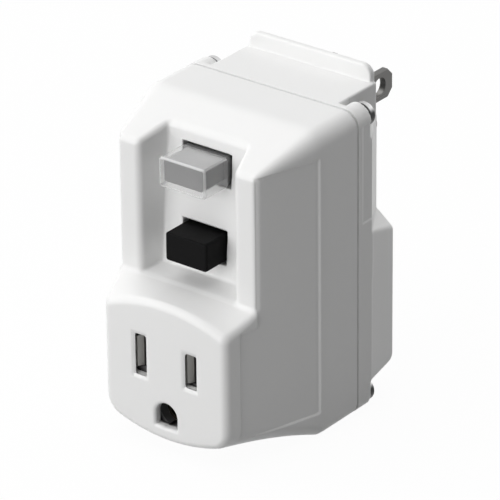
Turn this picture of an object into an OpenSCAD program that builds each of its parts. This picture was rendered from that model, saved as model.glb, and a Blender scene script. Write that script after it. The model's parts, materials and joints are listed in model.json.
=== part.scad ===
// Plug-in residual-current adapter with one grounded outlet, a reset button and a test button.
// Origin: midway between the plug blades, on the rear face that meets the wall plate.
// X runs to the right seen from the front, Y towards the wall, Z up.

/* [Housing] */
// Width of the housing
body_w = 43.9; // [39.5:0.1:52]
// Height of the housing, underside to top
body_h = 67.85; // [61:0.05:76]
// Height of the housing's top above the plug blades
top_rise = 8.45; // [8.2:0.05:9.2]
// Depth of the tapered nose, receptacle face to crease
nose_d = 23.3; // [22.4:0.1:28.4]
// Depth of the straight band, crease to parting line
band_d = 11.7; // [11:0.1:16]
// Depth of the rear cover's rim
rim_d = 4.8; // [4.6:0.1:8]
// Depth of the plug block behind the rim
block_d = 10.2; // [10:0.1:13.6]
// Draft of the tapered sides, in degrees
side_draft = 16; // [13:0.05:16.4]
// Fall of the slanted top over the taper
top_fall = 5.15; // [3.2:0.05:6]
// Wall thickness of both covers
wall = 2.2; // [1.6:0.1:2.3]
// Radius of the upper corners
corner_top_r = 3.6; // [3:0.1:4.6]
// Radius of the lower corners
corner_low_r = 3; // [2.6:0.1:4]
// Rounding of the front edges
edge_r = 1.2; // [0.6:0.1:1.6]
// Depth and width of the groove along the parting line
groove = 0.35; // [0.2:0.05:0.6]
// Depth of the sunk side fields
field_t = 0.3; // [0.1:0.05:0.5]

/* [Receptacle] */
// Height of the outlet slots above the underside
outlet_rise = 20; // [19.8:0.1:22]
// Spacing of the outlet slots and of the plug blades
pole_pitch = 12.7; // [12.5:0.1:12.9]
// Distance of the ground contact below the slots
ground_drop = 11.89; // [11.7:0.01:12]
// Width of an outlet slot
slot_w = 2.5; // [2:0.1:3]
// Height of the neutral slot
neutral_slot_h = 8.8; // [8:0.1:9.2]
// Height of the live slot
live_slot_h = 7.3; // [7:0.1:7.8]
// Lead-in bevel of the slots
slot_bevel = 0.85; // [0.4:0.05:1]
// Width of the ground opening
ground_w = 5.5; // [5.2:0.1:6]
// Height of the ground opening
ground_h = 5.7; // [5.4:0.1:6]
// Rise of the face's top arc above the slots
face_rise = 13.1; // [12.5:0.1:13.4]
// Fall of the face's lower arc below the slots
face_fall = 17.6; // [17.2:0.1:18.2]
// Radius of the face's two arcs
face_arc_r = 36.5; // [34:0.5:50]
// Thickness of the face wall
face_t = 2.5; // [2:0.1:3]
// Thickness of the lip around an outlet slot
slot_lip = 1; // [1:0.05:1.2]

/* [Buttons] */
// Set-back of the button panel's pillars behind the face
panel_set = 7.8; // [7:0.1:9]
// Width of the button recess at its mouth
recess_w = 23.9; // [23:0.1:25]
// Width of the button recess at its back
recess_back_w = 19.7; // [19:0.1:20.5]
// Depth of the recess at its top
recess_d = 7; // [6.5:0.1:7.5]
// Lean of the recess's back panel, in degrees
panel_lean = 3.78; // [2:0.1:5]
// Thickness of the back panel
panel_t = 2; // [1.6:0.1:2.2]
// Distance of the reset button's axis below the top
reset_drop = 9.45; // [9.2:0.05:9.8]
// Width of the reset button
reset_w = 11.6; // [10:0.1:12]
// Height of the reset button
reset_h = 6.6; // [6:0.1:6.8]
// Reach of the reset button in front of the pillars
reset_proud = 1.3; // [0:0.1:2]
// Side walls of the reset button's clear cap
cap_t = 1; // [0.8:0.1:1.4]
// Front and upper wall of the clear cap
cap_thin_t = 0.5; // [0.4:0.05:0.8]
// Lower wall of the clear cap
cap_low_t = 1.3; // [1:0.1:1.5]
// Height of the test button's axis above the receptacle's shelf
test_rise = 8.25; // [8:0.05:9.5]
// Width of the test button
test_w = 10.4; // [10:0.1:12]
// Height of the test button
test_h = 6.1; // [5.5:0.1:7]
// Reach of the test button in front of the pillars
test_proud = 0.4; // [0:0.1:1]
// Travel of the test button
test_travel = 1.8; // [1.2:0.1:2]
// Gap around a button in its opening
button_gap = 0.35; // [0.3:0.05:0.5]

/* [Plug] */
// Height of a plug blade
blade_h = 6.35; // [6.2:0.05:6.5]
// Thickness of a plug blade
blade_t = 1.52; // [1.4:0.02:1.6]
// Length of the blades behind the rear face
blade_l = 17.3; // [15.9:0.1:18.2]
// Diameter of the hole near a blade's tip
blade_hole_d = 4; // [3:0.1:4.2]
// Distance of that hole from the tip
blade_hole_in = 4.4; // [4:0.1:11]
// Diameter of the ground pin
pin_d = 4.76; // [4.7:0.01:4.8]
// Length of the ground pin behind the rear face
pin_l = 19.8; // [18:0.1:21]
// Width of the plug flange
flange_w = 30.6; // [27:0.1:34]
// Thickness of the plug flange
flange_t = 1.6; // [1.4:0.05:2.6]
// Rise of the plug flange above the deck
flange_rise = 3.55; // [2:0.05:5]
// Half width of the plug block's upper part at the rear face
plug_hw = 15.6; // [15.4:0.1:17]

/* [Mechanism] */
// Travel of the contact carriage
close_travel = 1.5; // [1:0.1:1.8]
// Stroke of the latch plate and plunger
latch_stroke = 0.8; // [0.7:0.05:0.9]
// Thickness of the latch plate
latch_t = 0.6; // [0.4:0.05:0.7]
// Radius of the catch on the reset stem
catch_r = 1.8; // [1.7:0.05:2]
// Thickness of the current-carrying strips
strip_t = 0.6; // [0.4:0.05:0.7]
// Width of the current-carrying strips
strip_w = 3; // [2.6:0.1:3.2]
// Distance of a switch pole from the middle
pole_x = 10; // [9.8:0.1:10.4]
// Thickness of the circuit board
board_t = 1.6; // [1.2:0.1:1.7]
// Clearance between sliding pieces
slide_gap = 0.2; // [0.15:0.05:0.3]

/* [Screws] */
// Radius of the cover screws' heads
head_r = 2.55; // [2.2:0.05:2.6]
// Height of the cover screws' heads
head_h = 2.4; // [1.8:0.1:2.6]
// Radius of the cover screws' shanks
shank_r = 1.4; // [1.2:0.05:1.5]
// Distance of the cover screws from the housing's sides
screw_in = 3.1; // [3:0.1:3.2]
// Distance of the lower cover screws from the underside
screw_up = 2.8; // [2.7:0.1:3.4]

/* [Hidden] */
$fn = 48;

// A hair of extra depth for cuts that pass through a face
eps = 0.01;
// Gap between faces that only just stay apart
hair = 0.05;
// Gap kept between a moving piece and what it doesn't touch
air = 0.3;

// Planes across the depth, rear to front
y_rim = -block_d;
y_part = y_rim - rim_d;
y_crease = y_part - band_d;
y_face = y_crease - nose_d;
y_panel = y_face + panel_set;

// Heights
hw = body_w / 2;
z_top = top_rise;
z_bottom = z_top - body_h;
z_panel_top = z_top - top_fall;
z_slot = z_bottom + outlet_rise;
z_ground = z_slot - ground_drop;
z_face_top = z_slot + face_rise;
z_face_low = z_slot - face_fall;
z_shelf = z_face_top + 0.5;
z_recess_foot = z_shelf + 1.3;
z_reset = z_top - reset_drop;
z_test = z_shelf + test_rise;
z_pin = -ground_drop;
pole_half = pole_pitch / 2;

// Half width of the housing at a depth, and the wall measured along X and Z on the slopes
function half_w(y) = hw - tan(side_draft) * max(0, y_crease - y);
top_slope = atan(top_fall / (y_crease - y_panel));
wall_x = wall / cos(side_draft);
wall_z = wall / cos(top_slope);
function slant_z(y) = z_top - tan(top_slope) * max(0, y_crease - y);
function panel_y(z) = y_panel + recess_d - (z_panel_top - z) * tan(panel_lean);

// Plug block: heights of its step, its lower block and their rear outline
z_step = z_top - 6.85;
block_under_pin = 7.51;
z_block_top = z_pin - block_under_pin;
z_block_low = z_bottom + 6.1;
block_hw = hw - 1.95;
block_rise = 0.3;
facet_drop = 3.4;
facet_in = 4.3;

// Cover screws
screw_x = hw - screw_in;
screw_zs = [z_top - screw_in, z_bottom + screw_up];
boss_r = 3.1;
shank_l = rim_d + band_d - 1.5;

// Half width of the deck, which stays clear of the upper screws' heads
deck_gap = 0.3;
deck_hw = screw_x - head_r - deck_gap;

// Mechanism planes, from its rear forwards
y_frame = y_part + 0.7;
frame_base_t = 1.6;
y_base = y_frame - frame_base_t;
y_block1 = y_base - 0.1;
carriage_l = 4.4;
y_block0 = y_block1 - carriage_l;
y_seat1 = y_block0 - close_travel - 0.4;
seat_t = 1.5;
y_seat0 = y_seat1 - seat_t;
y_latch = y_block0 + 1.6;
catch_l = 0.8;
y_catch = y_latch - close_travel - air;
contact_h = 0.8;
contact_r = 1.3;
y_bridge = y_block0 - strip_t;
y_fixed = y_bridge - contact_h - close_travel - hair;
fixed_h = 0.65;
y_pad = y_fixed - fixed_h;
y_strip = y_pad - strip_t;

// Carriage and frame around the reset axis
block_hx = 5.2;
block_lo = z_reset - 5;
block_hi = z_reset + 4.4;
arm_lo = z_reset - 4.5;
arm_hi = z_reset - 1.5;
bridge_lo = z_reset - 8;
bridge_hi = z_reset + 2;
contact_zs = [bridge_lo + strip_w / 2, bridge_hi - strip_w / 2];
stem_r = 1;
stem_bore_r = catch_r + air;
frame_t = 1.2;
frame_hx = block_hx + slide_gap + frame_t;
frame_lo = block_lo - slide_gap - frame_t - 0.2;
frame_hi = block_hi + slide_gap + frame_t + 0.7;
ear_x = 11.8;
ear_z = frame_lo + 1.8;
ear_h = 3.6;

// Latch plate and its tab under the frame
latch_hx = 4;
tab_z1 = frame_lo - 1.9;
tab_z0 = tab_z1 - latch_t;
neck_r = 1;
plunger_head_r = 2.2;
plunger_head_h = 0.8;
y_coil = y_latch + latch_t / 2;

// Current transformer between the coil and the receptacle contacts
core_in = 5;
core_out = 8;
core_h = 3.2;
case_t = 0.6;
case_low = z_slot + 1.8;
case_h = 2 * core_h + 4 * case_t;
coil_gap = 3;
y_case = y_strip + 2.1;
strap_in = 1;
strap_out = 3.4;

// Holding coil
plunger_r = 1.9;
plunger_top = tab_z0 - 0.1;
yoke_t = 1;
coil_top = plunger_top - 1.2 - latch_stroke;
coil_r = 4.4;
flange_r = 4.8;
bobbin_r = 3;
flange_h = 1;
coil_low = case_low + case_h + coil_gap;
plunger_spring_l = 5;
plunger_low = coil_low + yoke_t + plunger_spring_l;

// Circuit board
y_board0 = y_part + 3;
y_board1 = y_board0 + board_t;
board_hx = 15.5;
board_top = frame_lo - 1;
board_low = z_slot - 7.1;
board_screw_x = 13;
board_screw_zs = [board_top - 3.9, board_low + 4.5];

// Receptacle contacts
contact_gap = blade_t + 0.08;
leaf_h = 6.8;
y_leaf = y_face + slot_lip + air;
y_flare = y_face + face_t;
leaf_flare = 0.75;
pocket_hx = contact_gap / 2 + leaf_flare + strip_t + air;
y_web = y_face + 18.6;
sleeve_r = pin_d / 2 + 0.02;
sleeve_t = 0.6;
y_sleeve0 = y_face + face_t + 2;
y_sleeve1 = y_sleeve0 + 9.5;
y_carrier1 = y_web - 1.6;
carrier_hx = 11;
carrier_foot_hx = 4.6;
carrier_up = 5.2;
carrier_split = 6.1;

// Inner screws and the posts they turn into
guide_shank_r = 0.9;
guide_head_r = 1.8;
guide_head_h = 1;
frame_post_r = 2.4;
board_post_r = 2.4;

// Pockets for the carriage's springs
spring_pocket_r = 1.3;
spring_pocket_x = 3.4;
spring_pocket_z = z_reset + 2.6;

// Components on the board: the row under the transformer, then those beside it and beside the coil
part_z = z_slot - 3.1;
part_gap = 1;
chip_hx = 4.9;
chip_hz = 3.2;
chip_t = 3.3;
thyristor_x = 8.6;
thyristor_r = 2.3;
thyristor_l = 5;
thyristor_flat = 1.2;
resistor_xs = [-7.2, -9.7];
resistor_l = 6;
resistor_r = 1.1;
beside_z = case_low + case_h / 2;
varistor_x = -13.9;
varistor_r = 4.5;
varistor_t = 3.5;
smoothing_x = 12.3;
smoothing_r = 2.9;
smoothing_l = 9;
film_x = 10.2;
film_w = 4.5;
film_h = 7;
film_t = 6.5;
film_z = beside_z + smoothing_r + part_gap;
diode_xs = [-10.6, -13.6];
diode_l = 5;
diode_r = 1.3;
diode_z = beside_z + varistor_r + part_gap;

// Ground pin's root, with an undercut where the pin leaves the rear face, and the ground strap
pin_root_r = pin_d / 2 + 0.3;
pin_collar_r = pin_d / 2 + 0.9;
pin_undercut = 0.25;
strap_hx = 2.5;
y_ground = y_rim + 1.2;
z_ground_run = z_ground + sleeve_r + 0.8;

// Buttons behind the panel
reset_flange_hx = 7;
reset_flange_lo = z_reset - reset_h / 2 - 1.1;
reset_flange_hi = min(z_reset + reset_h / 2 + 1, slant_z(panel_y(z_panel_top) + panel_t) - wall_z - air);
y_reset_flange = panel_y(reset_flange_hi) + panel_t + slide_gap;
button_flange_t = 1;
y_cap_end = panel_y(z_reset) - 0.5;
cap_room_w = reset_w - 2 * cap_t;
cap_room_h = reset_h - cap_thin_t - cap_low_t;
cap_room_z = z_reset + (cap_low_t - cap_thin_t) / 2;
band_w = 1.2;
test_flange_hx = test_w / 2 + 1.4;
test_flange_hz = test_h / 2 + 1.6;
test_room_z = 0.3;
y_test_flange = panel_y(z_test + test_flange_hz) + panel_t + slide_gap;
y_guide1 = y_strip - 2.8;
guide_t = 1.2;
y_guide0 = y_guide1 - guide_t;
guide_x = 11.5;
guide_z = z_test - 4.5;
guide_hx = 13.6;
guide_edge = 2.2;
guide_over = 3;
guide_post_r = 2;
test_stem_r = 1.6;
test_bridge_hx = 8.2;
test_post_x = 7.2;
test_post_r = 0.8;
y_test_bridge = y_guide1 + air;
bridge_strip_t = 0.5;

// Boxes and rods
module box(x, y, z) {
    translate([x[0], y[0], z[0]])
    cube([x[1] - x[0], y[1] - y[0], z[1] - z[0]]);
}

module y_rod(x, z, y, r) {
    translate([x, y[0], z])
    rotate([-90, 0, 0])
    cylinder(h = y[1] - y[0], r = r);
}

module z_rod(x, y, z, r) {
    translate([x, y, z[0]])
    cylinder(h = z[1] - z[0], r = r);
}

// Extrusions of an outline along one axis: X-Z along Y, Y-Z along X, X-Y along Z
module along_y(y) {
    translate([0, y[1], 0])
    rotate([90, 0, 0])
    linear_extrude(y[1] - y[0])
    children();
}

module along_x(x) {
    translate([x[0], 0, 0])
    rotate([90, 0, 90])
    linear_extrude(x[1] - x[0])
    children();
}

module along_z(z) {
    translate([0, 0, z[0]])
    linear_extrude(z[1] - z[0])
    children();
}

module both_sides() {
    children();
    mirror([1, 0, 0])
    children();
}

// Helical spring along Z, as one tube
module coil_spring(r, wire_r, length, turns) {
    steps = 16;
    sides = 6;
    count = turns * steps;
    rise = (length - 2 * wire_r) / count;
    points = [for (i = [0:count]) let (a = 360 * i / steps)
        for (j = [0:sides - 1]) let (b = 360 * j / sides, q = r + wire_r * cos(b))
            [q * cos(a), q * sin(a), wire_r + rise * i + wire_r * sin(b)]];
    sleeve = [for (i = [0:count - 1]) for (j = [0:sides - 1])
        let (k = (j + 1) % sides, p = i * sides, n = p + sides)
            each [[p + j, p + k, n + k], [p + j, n + k, n + j]]];
    start = [[for (j = [sides - 1:-1:0]) j]];
    end = [[for (j = [0:sides - 1]) count * sides + j]];
    polyhedron(points, concat(sleeve, start, end));
}

// Housing outline across the straight band
module housing_outline(inset = 0) {
    w = hw - inset;
    top = z_top - inset;
    low = z_bottom + inset;
    rt = max(corner_top_r - inset, 0.4);
    rl = max(corner_low_r - inset, 0.4);
    translate([-w, low + rl])
    square([2 * w, top - rt - low - rl]);
    translate([-(w - rt), low + rl])
    square([2 * (w - rt), top - low - rl]);
    translate([-(w - rl), low])
    square([2 * (w - rl), rl + 1]);
    for (s = [-1, 1]) {
        translate([s * (w - rt), top - rt])
        circle(rt);
        translate([s * (w - rl), low + rl])
        circle(rl);
    }
}

// Receptacle face outline at a depth: straight sides between two arcs
module face_outline(y, inset) {
    w = half_w(y) - inset;
    r = face_arc_r - inset;
    intersection() {
        translate([-w, z_face_low])
        square([2 * w, z_face_top - z_face_low]);
        translate([0, z_face_top - face_arc_r])
        circle(r, $fn = 128);
        translate([0, z_face_low + face_arc_r])
        circle(r, $fn = 128);
    }
}

module crease_low_outline(inset) {
    r = max(corner_low_r - inset, 0.4);
    w = hw - inset;
    for (s = [-1, 1])
        translate([s * (w - r), z_bottom + inset + r])
        circle(r, $fn = 32);
    translate([-w, z_slot])
    square([2 * w, z_shelf - inset - z_slot]);
}

module nose_skin() {
    soft = edge_r * (1 - sqrt(0.5));
    hull() {
        along_y([y_face, y_face + eps])
        face_outline(y_face, edge_r);
        along_y([y_face + soft, y_face + soft + eps])
        face_outline(y_face + soft, soft);
        along_y([y_face + edge_r, y_face + edge_r + eps])
        face_outline(y_face + edge_r, 0);
        box([-half_w(y_panel), half_w(y_panel)], [y_panel, y_panel + eps], [z_slot, z_shelf]);
        along_y([y_crease - eps, y_crease])
        crease_low_outline(0);
    }
}

// Rounding of the slanted top's side edges, which grows from the panel to the crease
module slant_edges() {
    for_panel = [half_w(y_panel) + hair, z_panel_top + hair, edge_r];
    for_crease = [hw + hair, z_top + hair, corner_top_r];
    hull()
    for (at = [[y_panel, for_panel], [y_crease - eps, for_crease]]) {
        w = at[1][0];
        top = at[1][1];
        r = at[1][2];
        along_y([at[0], at[0] + eps]) {
            translate([-w, z_slot])
            square([2 * w, top - r - z_slot]);
            for (s = [-1, 1])
                translate([s * (w - r), top - r])
                circle(r);
        }
    }
}

// Upper body: drafted plan with round front corners, slanted top and the band's upper corners
module upper_skin() {
    y_ball = y_panel + edge_r;
    x_ball = half_w(y_ball) - edge_r / cos(side_draft);
    z_ball = slant_z(y_ball) - edge_r / cos(top_slope);
    turn_x = edge_r * cos(side_draft);
    turn_y = edge_r * sin(side_draft);
    rise_y = edge_r * sin(top_slope);
    rise_z = edge_r * cos(top_slope);
    intersection() {
        along_z([z_shelf, z_top])
        union() {
            polygon([[-hw, y_crease], [-x_ball - turn_x, y_ball - turn_y], [-x_ball, y_panel],
                [x_ball, y_panel], [x_ball + turn_x, y_ball - turn_y], [hw, y_crease]]);
            for (s = [-1, 1])
                translate([s * x_ball, y_ball])
                circle(edge_r);
        }
        along_x([-hw, hw])
        union() {
            polygon([[y_panel, z_shelf], [y_crease, z_shelf], [y_crease, z_top],
                [y_ball - rise_y, z_ball + rise_z], [y_panel, z_ball]]);
            translate([y_ball, z_ball])
            circle(edge_r);
        }
        along_y([y_panel, y_crease])
        housing_outline();
        slant_edges();
    }
}

module nose_cavity() {
    y0 = y_face + face_t;
    hull() {
        along_y([y0, y0 + eps])
        face_outline(y0, wall_x);
        box([-half_w(y_panel) + wall_x, half_w(y_panel) - wall_x], [y_panel, y_panel + eps],
            [z_slot, z_shelf - wall]);
        along_y([y_crease, y_crease + eps])
        crease_low_outline(wall);
    }
}

module upper_cavity() {
    y_front = panel_y(z_panel_top) + panel_t;
    z_low = z_shelf - wall - 1;
    intersection() {
        along_x([-hw, hw])
        polygon([[y_crease + eps, z_top - wall], [y_crease, z_top - wall],
            [y_front, slant_z(y_front) - wall_z], [panel_y(z_low) + panel_t, z_low],
            [y_crease + eps, z_low]]);
        along_z([z_bottom, z_top])
        polygon([for (s = [-1, 1]) for (y = s < 0 ? [y_face, y_crease + 1] : [y_crease + 1, y_face])
            [s * (half_w(y) - wall_x), y]]);
    }
}

module button_recess() {
    deep = recess_d + 3;
    lip = (recess_w - recess_back_w) / 2 / recess_d;
    intersection() {
        along_x([-hw, hw])
        polygon([[y_panel - 2, z_shelf], [y_panel, z_shelf], [panel_y(z_recess_foot), z_recess_foot],
            [panel_y(z_top + 2), z_top + 2], [y_panel - 2, z_top + 2]]);
        along_z([z_shelf, z_top + 2])
        polygon([for (s = [-1, 1]) for (d = s < 0 ? [-2, deep] : [deep, -2])
            [s * (recess_w / 2 - lip * d), y_panel + d]]);
    }
}

module panel_window(hx, z) {
    box([-hx, hx], [panel_y(z[0]) - 2, panel_y(z[1]) + panel_t + 2], z);
}

// Straight slot with a bevelled mouth, and a pocket behind it for the contact's flared end
module outlet_slot(x, h) {
    pocket_hz = max(h, leaf_h) / 2 + air;
    translate([x, y_face, z_slot]) {
        box([-slot_w / 2, slot_w / 2], [-1, face_t + 1], [-h / 2, h / 2]);
        box([-pocket_hx, pocket_hx], [slot_lip, face_t + 1], [-pocket_hz, pocket_hz]);
        intersection() {
            along_z([-h, h])
            polygon([[-slot_w / 2 - slot_bevel, 0], [slot_w / 2 + slot_bevel, 0],
                [slot_w / 2, slot_bevel], [-slot_w / 2, slot_bevel]]);
            along_x([-h, h])
            polygon([[0, -h / 2 - slot_bevel], [0, h / 2 + slot_bevel],
                [slot_bevel, h / 2], [slot_bevel, -h / 2]]);
        }
    }
}

module ground_opening() {
    r = ground_w / 2;
    along_y([y_face - 1, y_face + face_t + 1])
    union() {
        translate([0, z_ground])
        circle(r);
        translate([-r, z_ground + r - ground_h])
        square([ground_w, ground_h - r]);
    }
}

// Sunk field on the right side of the nose, stepped where the nose is lower
module side_field() {
    back = 0.5;
    step = 15.8;
    front = 20.3;
    low = z_bottom + 6;
    high = z_top - 5.45;
    translate([hw, y_crease, 0])
    rotate([0, 0, -side_draft])
    along_x([-field_t, 1])
    polygon([[-back, low], [-back, high], [-step, high], [-step, z_slot + 10.1],
        [-front, z_slot + 10.1], [-front, low]]);
}

module screw_axes() {
    for (s = [-1, 1])
        for (z = screw_zs)
            translate([s * screw_x, 0, z])
            children();
}

module front_cover() {
    color("whitesmoke")
    difference() {
        union() {
            difference() {
                union() {
                    nose_skin();
                    upper_skin();
                    along_y([y_crease, y_part])
                    housing_outline();
                }
                nose_cavity();
                upper_cavity();
                along_y([y_crease, y_part + 1])
                housing_outline(wall);
            }
            intersection() {
                along_y([y_crease, y_part])
                housing_outline();
                screw_axes()
                y_rod(0, 0, [y_crease, y_part], boss_r);
            }
            both_sides()
            y_rod(guide_x, guide_z, [panel_y(guide_z) + panel_t / 2, y_guide0], guide_post_r);
        }
        button_recess();
        panel_window(reset_w / 2 + button_gap,
            [z_reset - reset_h / 2 - button_gap, z_reset + reset_h / 2 + button_gap]);
        panel_window(test_w / 2 + button_gap,
            [z_test - test_h / 2 - button_gap - test_room_z, z_test + test_h / 2 + button_gap + test_room_z]);
        outlet_slot(-pole_half, neutral_slot_h);
        outlet_slot(pole_half, live_slot_h);
        ground_opening();
        screw_axes()
        y_rod(0, 0, [y_rim - shank_l - 1, y_part + 1], shank_r + hair);
        both_sides()
        y_rod(guide_x, guide_z, [y_guide0 - 4.5, y_guide0 + 1], guide_shank_r + hair);
        both_sides()
        side_field();
    }
}

// Outside of the plug block, and the hollow inside it
module lower_block(inset) {
    low = z_block_low + inset;
    hull() {
        box([-hw + inset, hw - inset], [y_rim - eps - (inset > 0 ? wall : 0), y_rim],
            [low, z_block_top - inset]);
        along_y([-eps - inset, -inset])
        polygon([for (s = [-1, 1]) each s < 0
            ? [[-block_hw + inset, low + block_rise], [-block_hw + inset, z_block_top - facet_drop - inset],
                [-block_hw + facet_in + inset, z_block_top - inset]]
            : [[block_hw - facet_in - inset, z_block_top - inset],
                [block_hw - inset, z_block_top - facet_drop - inset], [block_hw - inset, low + block_rise]]]);
    }
}

module upper_block(inset) {
    slope = (hw - plug_hw) / block_d;
    thick = inset * sqrt(1 + slope * slope);
    y0 = inset > 0 ? y_rim - wall : y_rim;
    y1 = -inset;
    along_z([z_block_top - 8, z_step - inset])
    polygon([for (s = [-1, 1]) for (y = s < 0 ? [y0, y1] : [y1, y0])
        [s * (plug_hw - slope * y - thick), y]]);
    box([-deck_hw + inset, deck_hw - inset], [y0, y1], [z_block_top, z_top - inset]);
}

module plug_flange() {
    r = 2.4;
    x = flange_w / 2 - r;
    z = z_top + flange_rise;
    along_y([-flange_t, 0])
    union() {
        translate([-flange_w / 2, z_step])
        square([flange_w, z - r - z_step]);
        translate([-x, z_step])
        square([2 * x, z - z_step]);
        for (s = [-1, 1])
            translate([s * x, z - r])
            circle(r);
    }
}

// Sunk corner beside the deck, around the upper screw's boss
module corner_relief() {
    y = [y_part + 1.9, y_rim + eps];
    difference() {
        box([deck_hw, hw + 1], y, [z_top - wall + 0.4, z_top + 1]);
        y_rod(screw_x, z_top - screw_in, [y[0] - 1, y[1] + 1], boss_r);
    }
}

module rear_cover() {
    pad = 0.25;
    color("whitesmoke")
    difference() {
        union() {
            difference() {
                union() {
                    along_y([y_part, y_part + groove])
                    housing_outline(groove);
                    along_y([y_part + groove, y_rim])
                    housing_outline();
                    lower_block(0);
                    upper_block(0);
                    plug_flange();
                }
                along_y([y_part - 1, y_rim - wall])
                housing_outline(wall);
                lower_block(wall);
                upper_block(wall);
                both_sides()
                corner_relief();
            }
            intersection() {
                along_y([y_part, y_rim])
                housing_outline(groove);
                screw_axes()
                y_rod(0, 0, [y_part, y_rim], boss_r);
            }
            both_sides() {
                y_rod(ear_x, ear_z, [y_frame, -wall / 2], frame_post_r);
                for (z = board_screw_zs)
                    y_rod(board_screw_x, z, [y_board1, -wall / 2], board_post_r);
            }
        }
        screw_axes()
        y_rod(0, 0, [y_part - 1, y_rim + 1], shank_r + 0.25);
        both_sides() {
            box([pole_half - blade_t / 2 - hair, pole_half + blade_t / 2 + hair], [-wall - 1, 1],
                [-blade_h / 2 - hair, blade_h / 2 + hair]);
            y_rod(ear_x, ear_z, [y_frame - 1, y_frame + 6], guide_shank_r + hair);
            for (z = board_screw_zs)
                y_rod(board_screw_x, z, [y_board1 - 1, y_board1 + 5], guide_shank_r + hair);
            box([hw - pad, hw + 1], [y_part + 1.9, y_rim + eps], [z_block_top + 2.9, z_top - 3.6]);
        }
        y_rod(0, z_pin, [-wall - 1, 1], pin_root_r + hair);
    }
}

// Pan-head screw along Y, head to the rear
module pan_screw(length, head, height, shank) {
    difference() {
        union() {
            y_rod(0, 0, [-length, 0], shank);
            y_rod(0, 0, [0, height], head);
        }
        for (a = [0, 90])
            rotate([0, a, 0])
            box([-head * 0.65, head * 0.65], [height * 0.45, height + 1], [-head * 0.13, head * 0.13]);
    }
}

module cover_screws() {
    color("dimgray")
    screw_axes()
    translate([0, y_rim, 0])
    pan_screw(shank_l, head_r, head_h, shank_r);
}

// Flat blade with chamfered tip, a hole and a shoulder seated inside the rear wall
module blade() {
    tip = 1.6;
    root = y_part + 4;
    shoulder = 1.6;
    difference() {
        translate([pole_half - blade_t / 2, 0, 0])
        along_x([0, blade_t])
        polygon([[root, -blade_h / 2], [-wall - 2, -blade_h / 2], [-wall - 2, -blade_h / 2 - shoulder],
            [-wall, -blade_h / 2 - shoulder], [-wall, -blade_h / 2], [blade_l - tip, -blade_h / 2],
            [blade_l, -blade_h / 2 + tip], [blade_l, blade_h / 2 - tip], [blade_l - tip, blade_h / 2],
            [-wall, blade_h / 2], [root, blade_h / 2]]);
        translate([pole_half - 2, blade_l - blade_hole_in, 0])
        rotate([0, 90, 0])
        cylinder(h = 4, r = blade_hole_d / 2);
    }
}

module live_blade() {
    color("silver")
    blade();
}

module neutral_blade() {
    color("silver")
    mirror([1, 0, 0])
    blade();
}

module ground_pin() {
    nose = 1.4;
    color("silver")
    union() {
        y_rod(0, z_pin, [y_ground, 0], pin_root_r);
        y_rod(0, z_pin, [-wall - 1.6, -wall], pin_collar_r);
        y_rod(0, z_pin, [-eps, pin_undercut + eps], pin_d / 2 - pin_undercut);
        y_rod(0, z_pin, [pin_undercut, pin_l - nose], pin_d / 2);
        translate([0, pin_l - nose, z_pin])
        rotate([-90, 0, 0])
        cylinder(h = nose, r1 = pin_d / 2, r2 = pin_d / 2 - 0.9);
    }
}

// Twin-leaf receptacle contact with flared front ends
module leaf_contact() {
    g = contact_gap / 2;
    t = strip_t;
    z = [z_slot - leaf_h / 2, z_slot + leaf_h / 2];
    translate([pole_half, 0, 0])
    both_sides()
    along_z(z)
    polygon([[g, y_web + t], [g, y_flare], [g + leaf_flare, y_leaf], [g + leaf_flare + t, y_leaf],
        [g + t, y_flare], [g + t, y_web + t]]);
    box([pole_half - g - strip_t, pole_half + g + strip_t], [y_web, y_web + strip_t], z);
}

module live_contact() {
    color("silver")
    leaf_contact();
}

module neutral_contact() {
    color("silver")
    mirror([1, 0, 0])
    leaf_contact();
}

// Split sleeve that grips a ground pin
module ground_contact() {
    color("darkgoldenrod")
    difference() {
        y_rod(0, z_ground, [y_sleeve0, y_sleeve1], sleeve_r + sleeve_t);
        y_rod(0, z_ground, [y_sleeve0 - 1, y_sleeve1 + 1], sleeve_r);
        box([-0.5, 0.5], [y_sleeve0 - 1, y_sleeve1 + 1], [z_ground, z_ground + 5]);
    }
}

module contact_carrier() {
    g = contact_gap / 2 + strip_t + air;
    h = leaf_h / 2 + air;
    y0 = y_face + face_t;
    split = z_slot - carrier_split;
    color("dimgray")
    difference() {
        union() {
            box([-carrier_hx, carrier_hx], [y0, y_carrier1], [split, z_slot + carrier_up]);
            box([-carrier_foot_hx, carrier_foot_hx], [y0, y_sleeve1 - air],
                [z_face_low + wall_x + 0.5, split]);
        }
        both_sides()
        box([pole_half - g, pole_half + g], [y0 - 1, y_carrier1 + 1], [z_slot - h, z_slot + h]);
        y_rod(0, z_ground, [y0 - 1, y_carrier1 + 1], sleeve_r + sleeve_t + hair);
    }
}

// Strap from the ground pin down behind the board and forward to the ground contact
module ground_strap() {
    color("darkkhaki")
    difference() {
        union() {
            box([-strap_hx, strap_hx], [y_ground - strip_t, y_ground], [z_ground_run, z_pin + strap_hx]);
            box([-strap_hx, strap_hx], [y_sleeve1, y_ground], [z_ground_run, z_ground_run + strip_t]);
            box([-strap_hx - 1, strap_hx + 1], [y_sleeve1, y_sleeve1 + strip_t],
                [z_ground - sleeve_r - 0.9, z_ground_run + strip_t]);
        }
        y_rod(0, z_ground, [y_sleeve1 - 1, y_sleeve1 + 3], sleeve_r + 0.1);
    }
}

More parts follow.
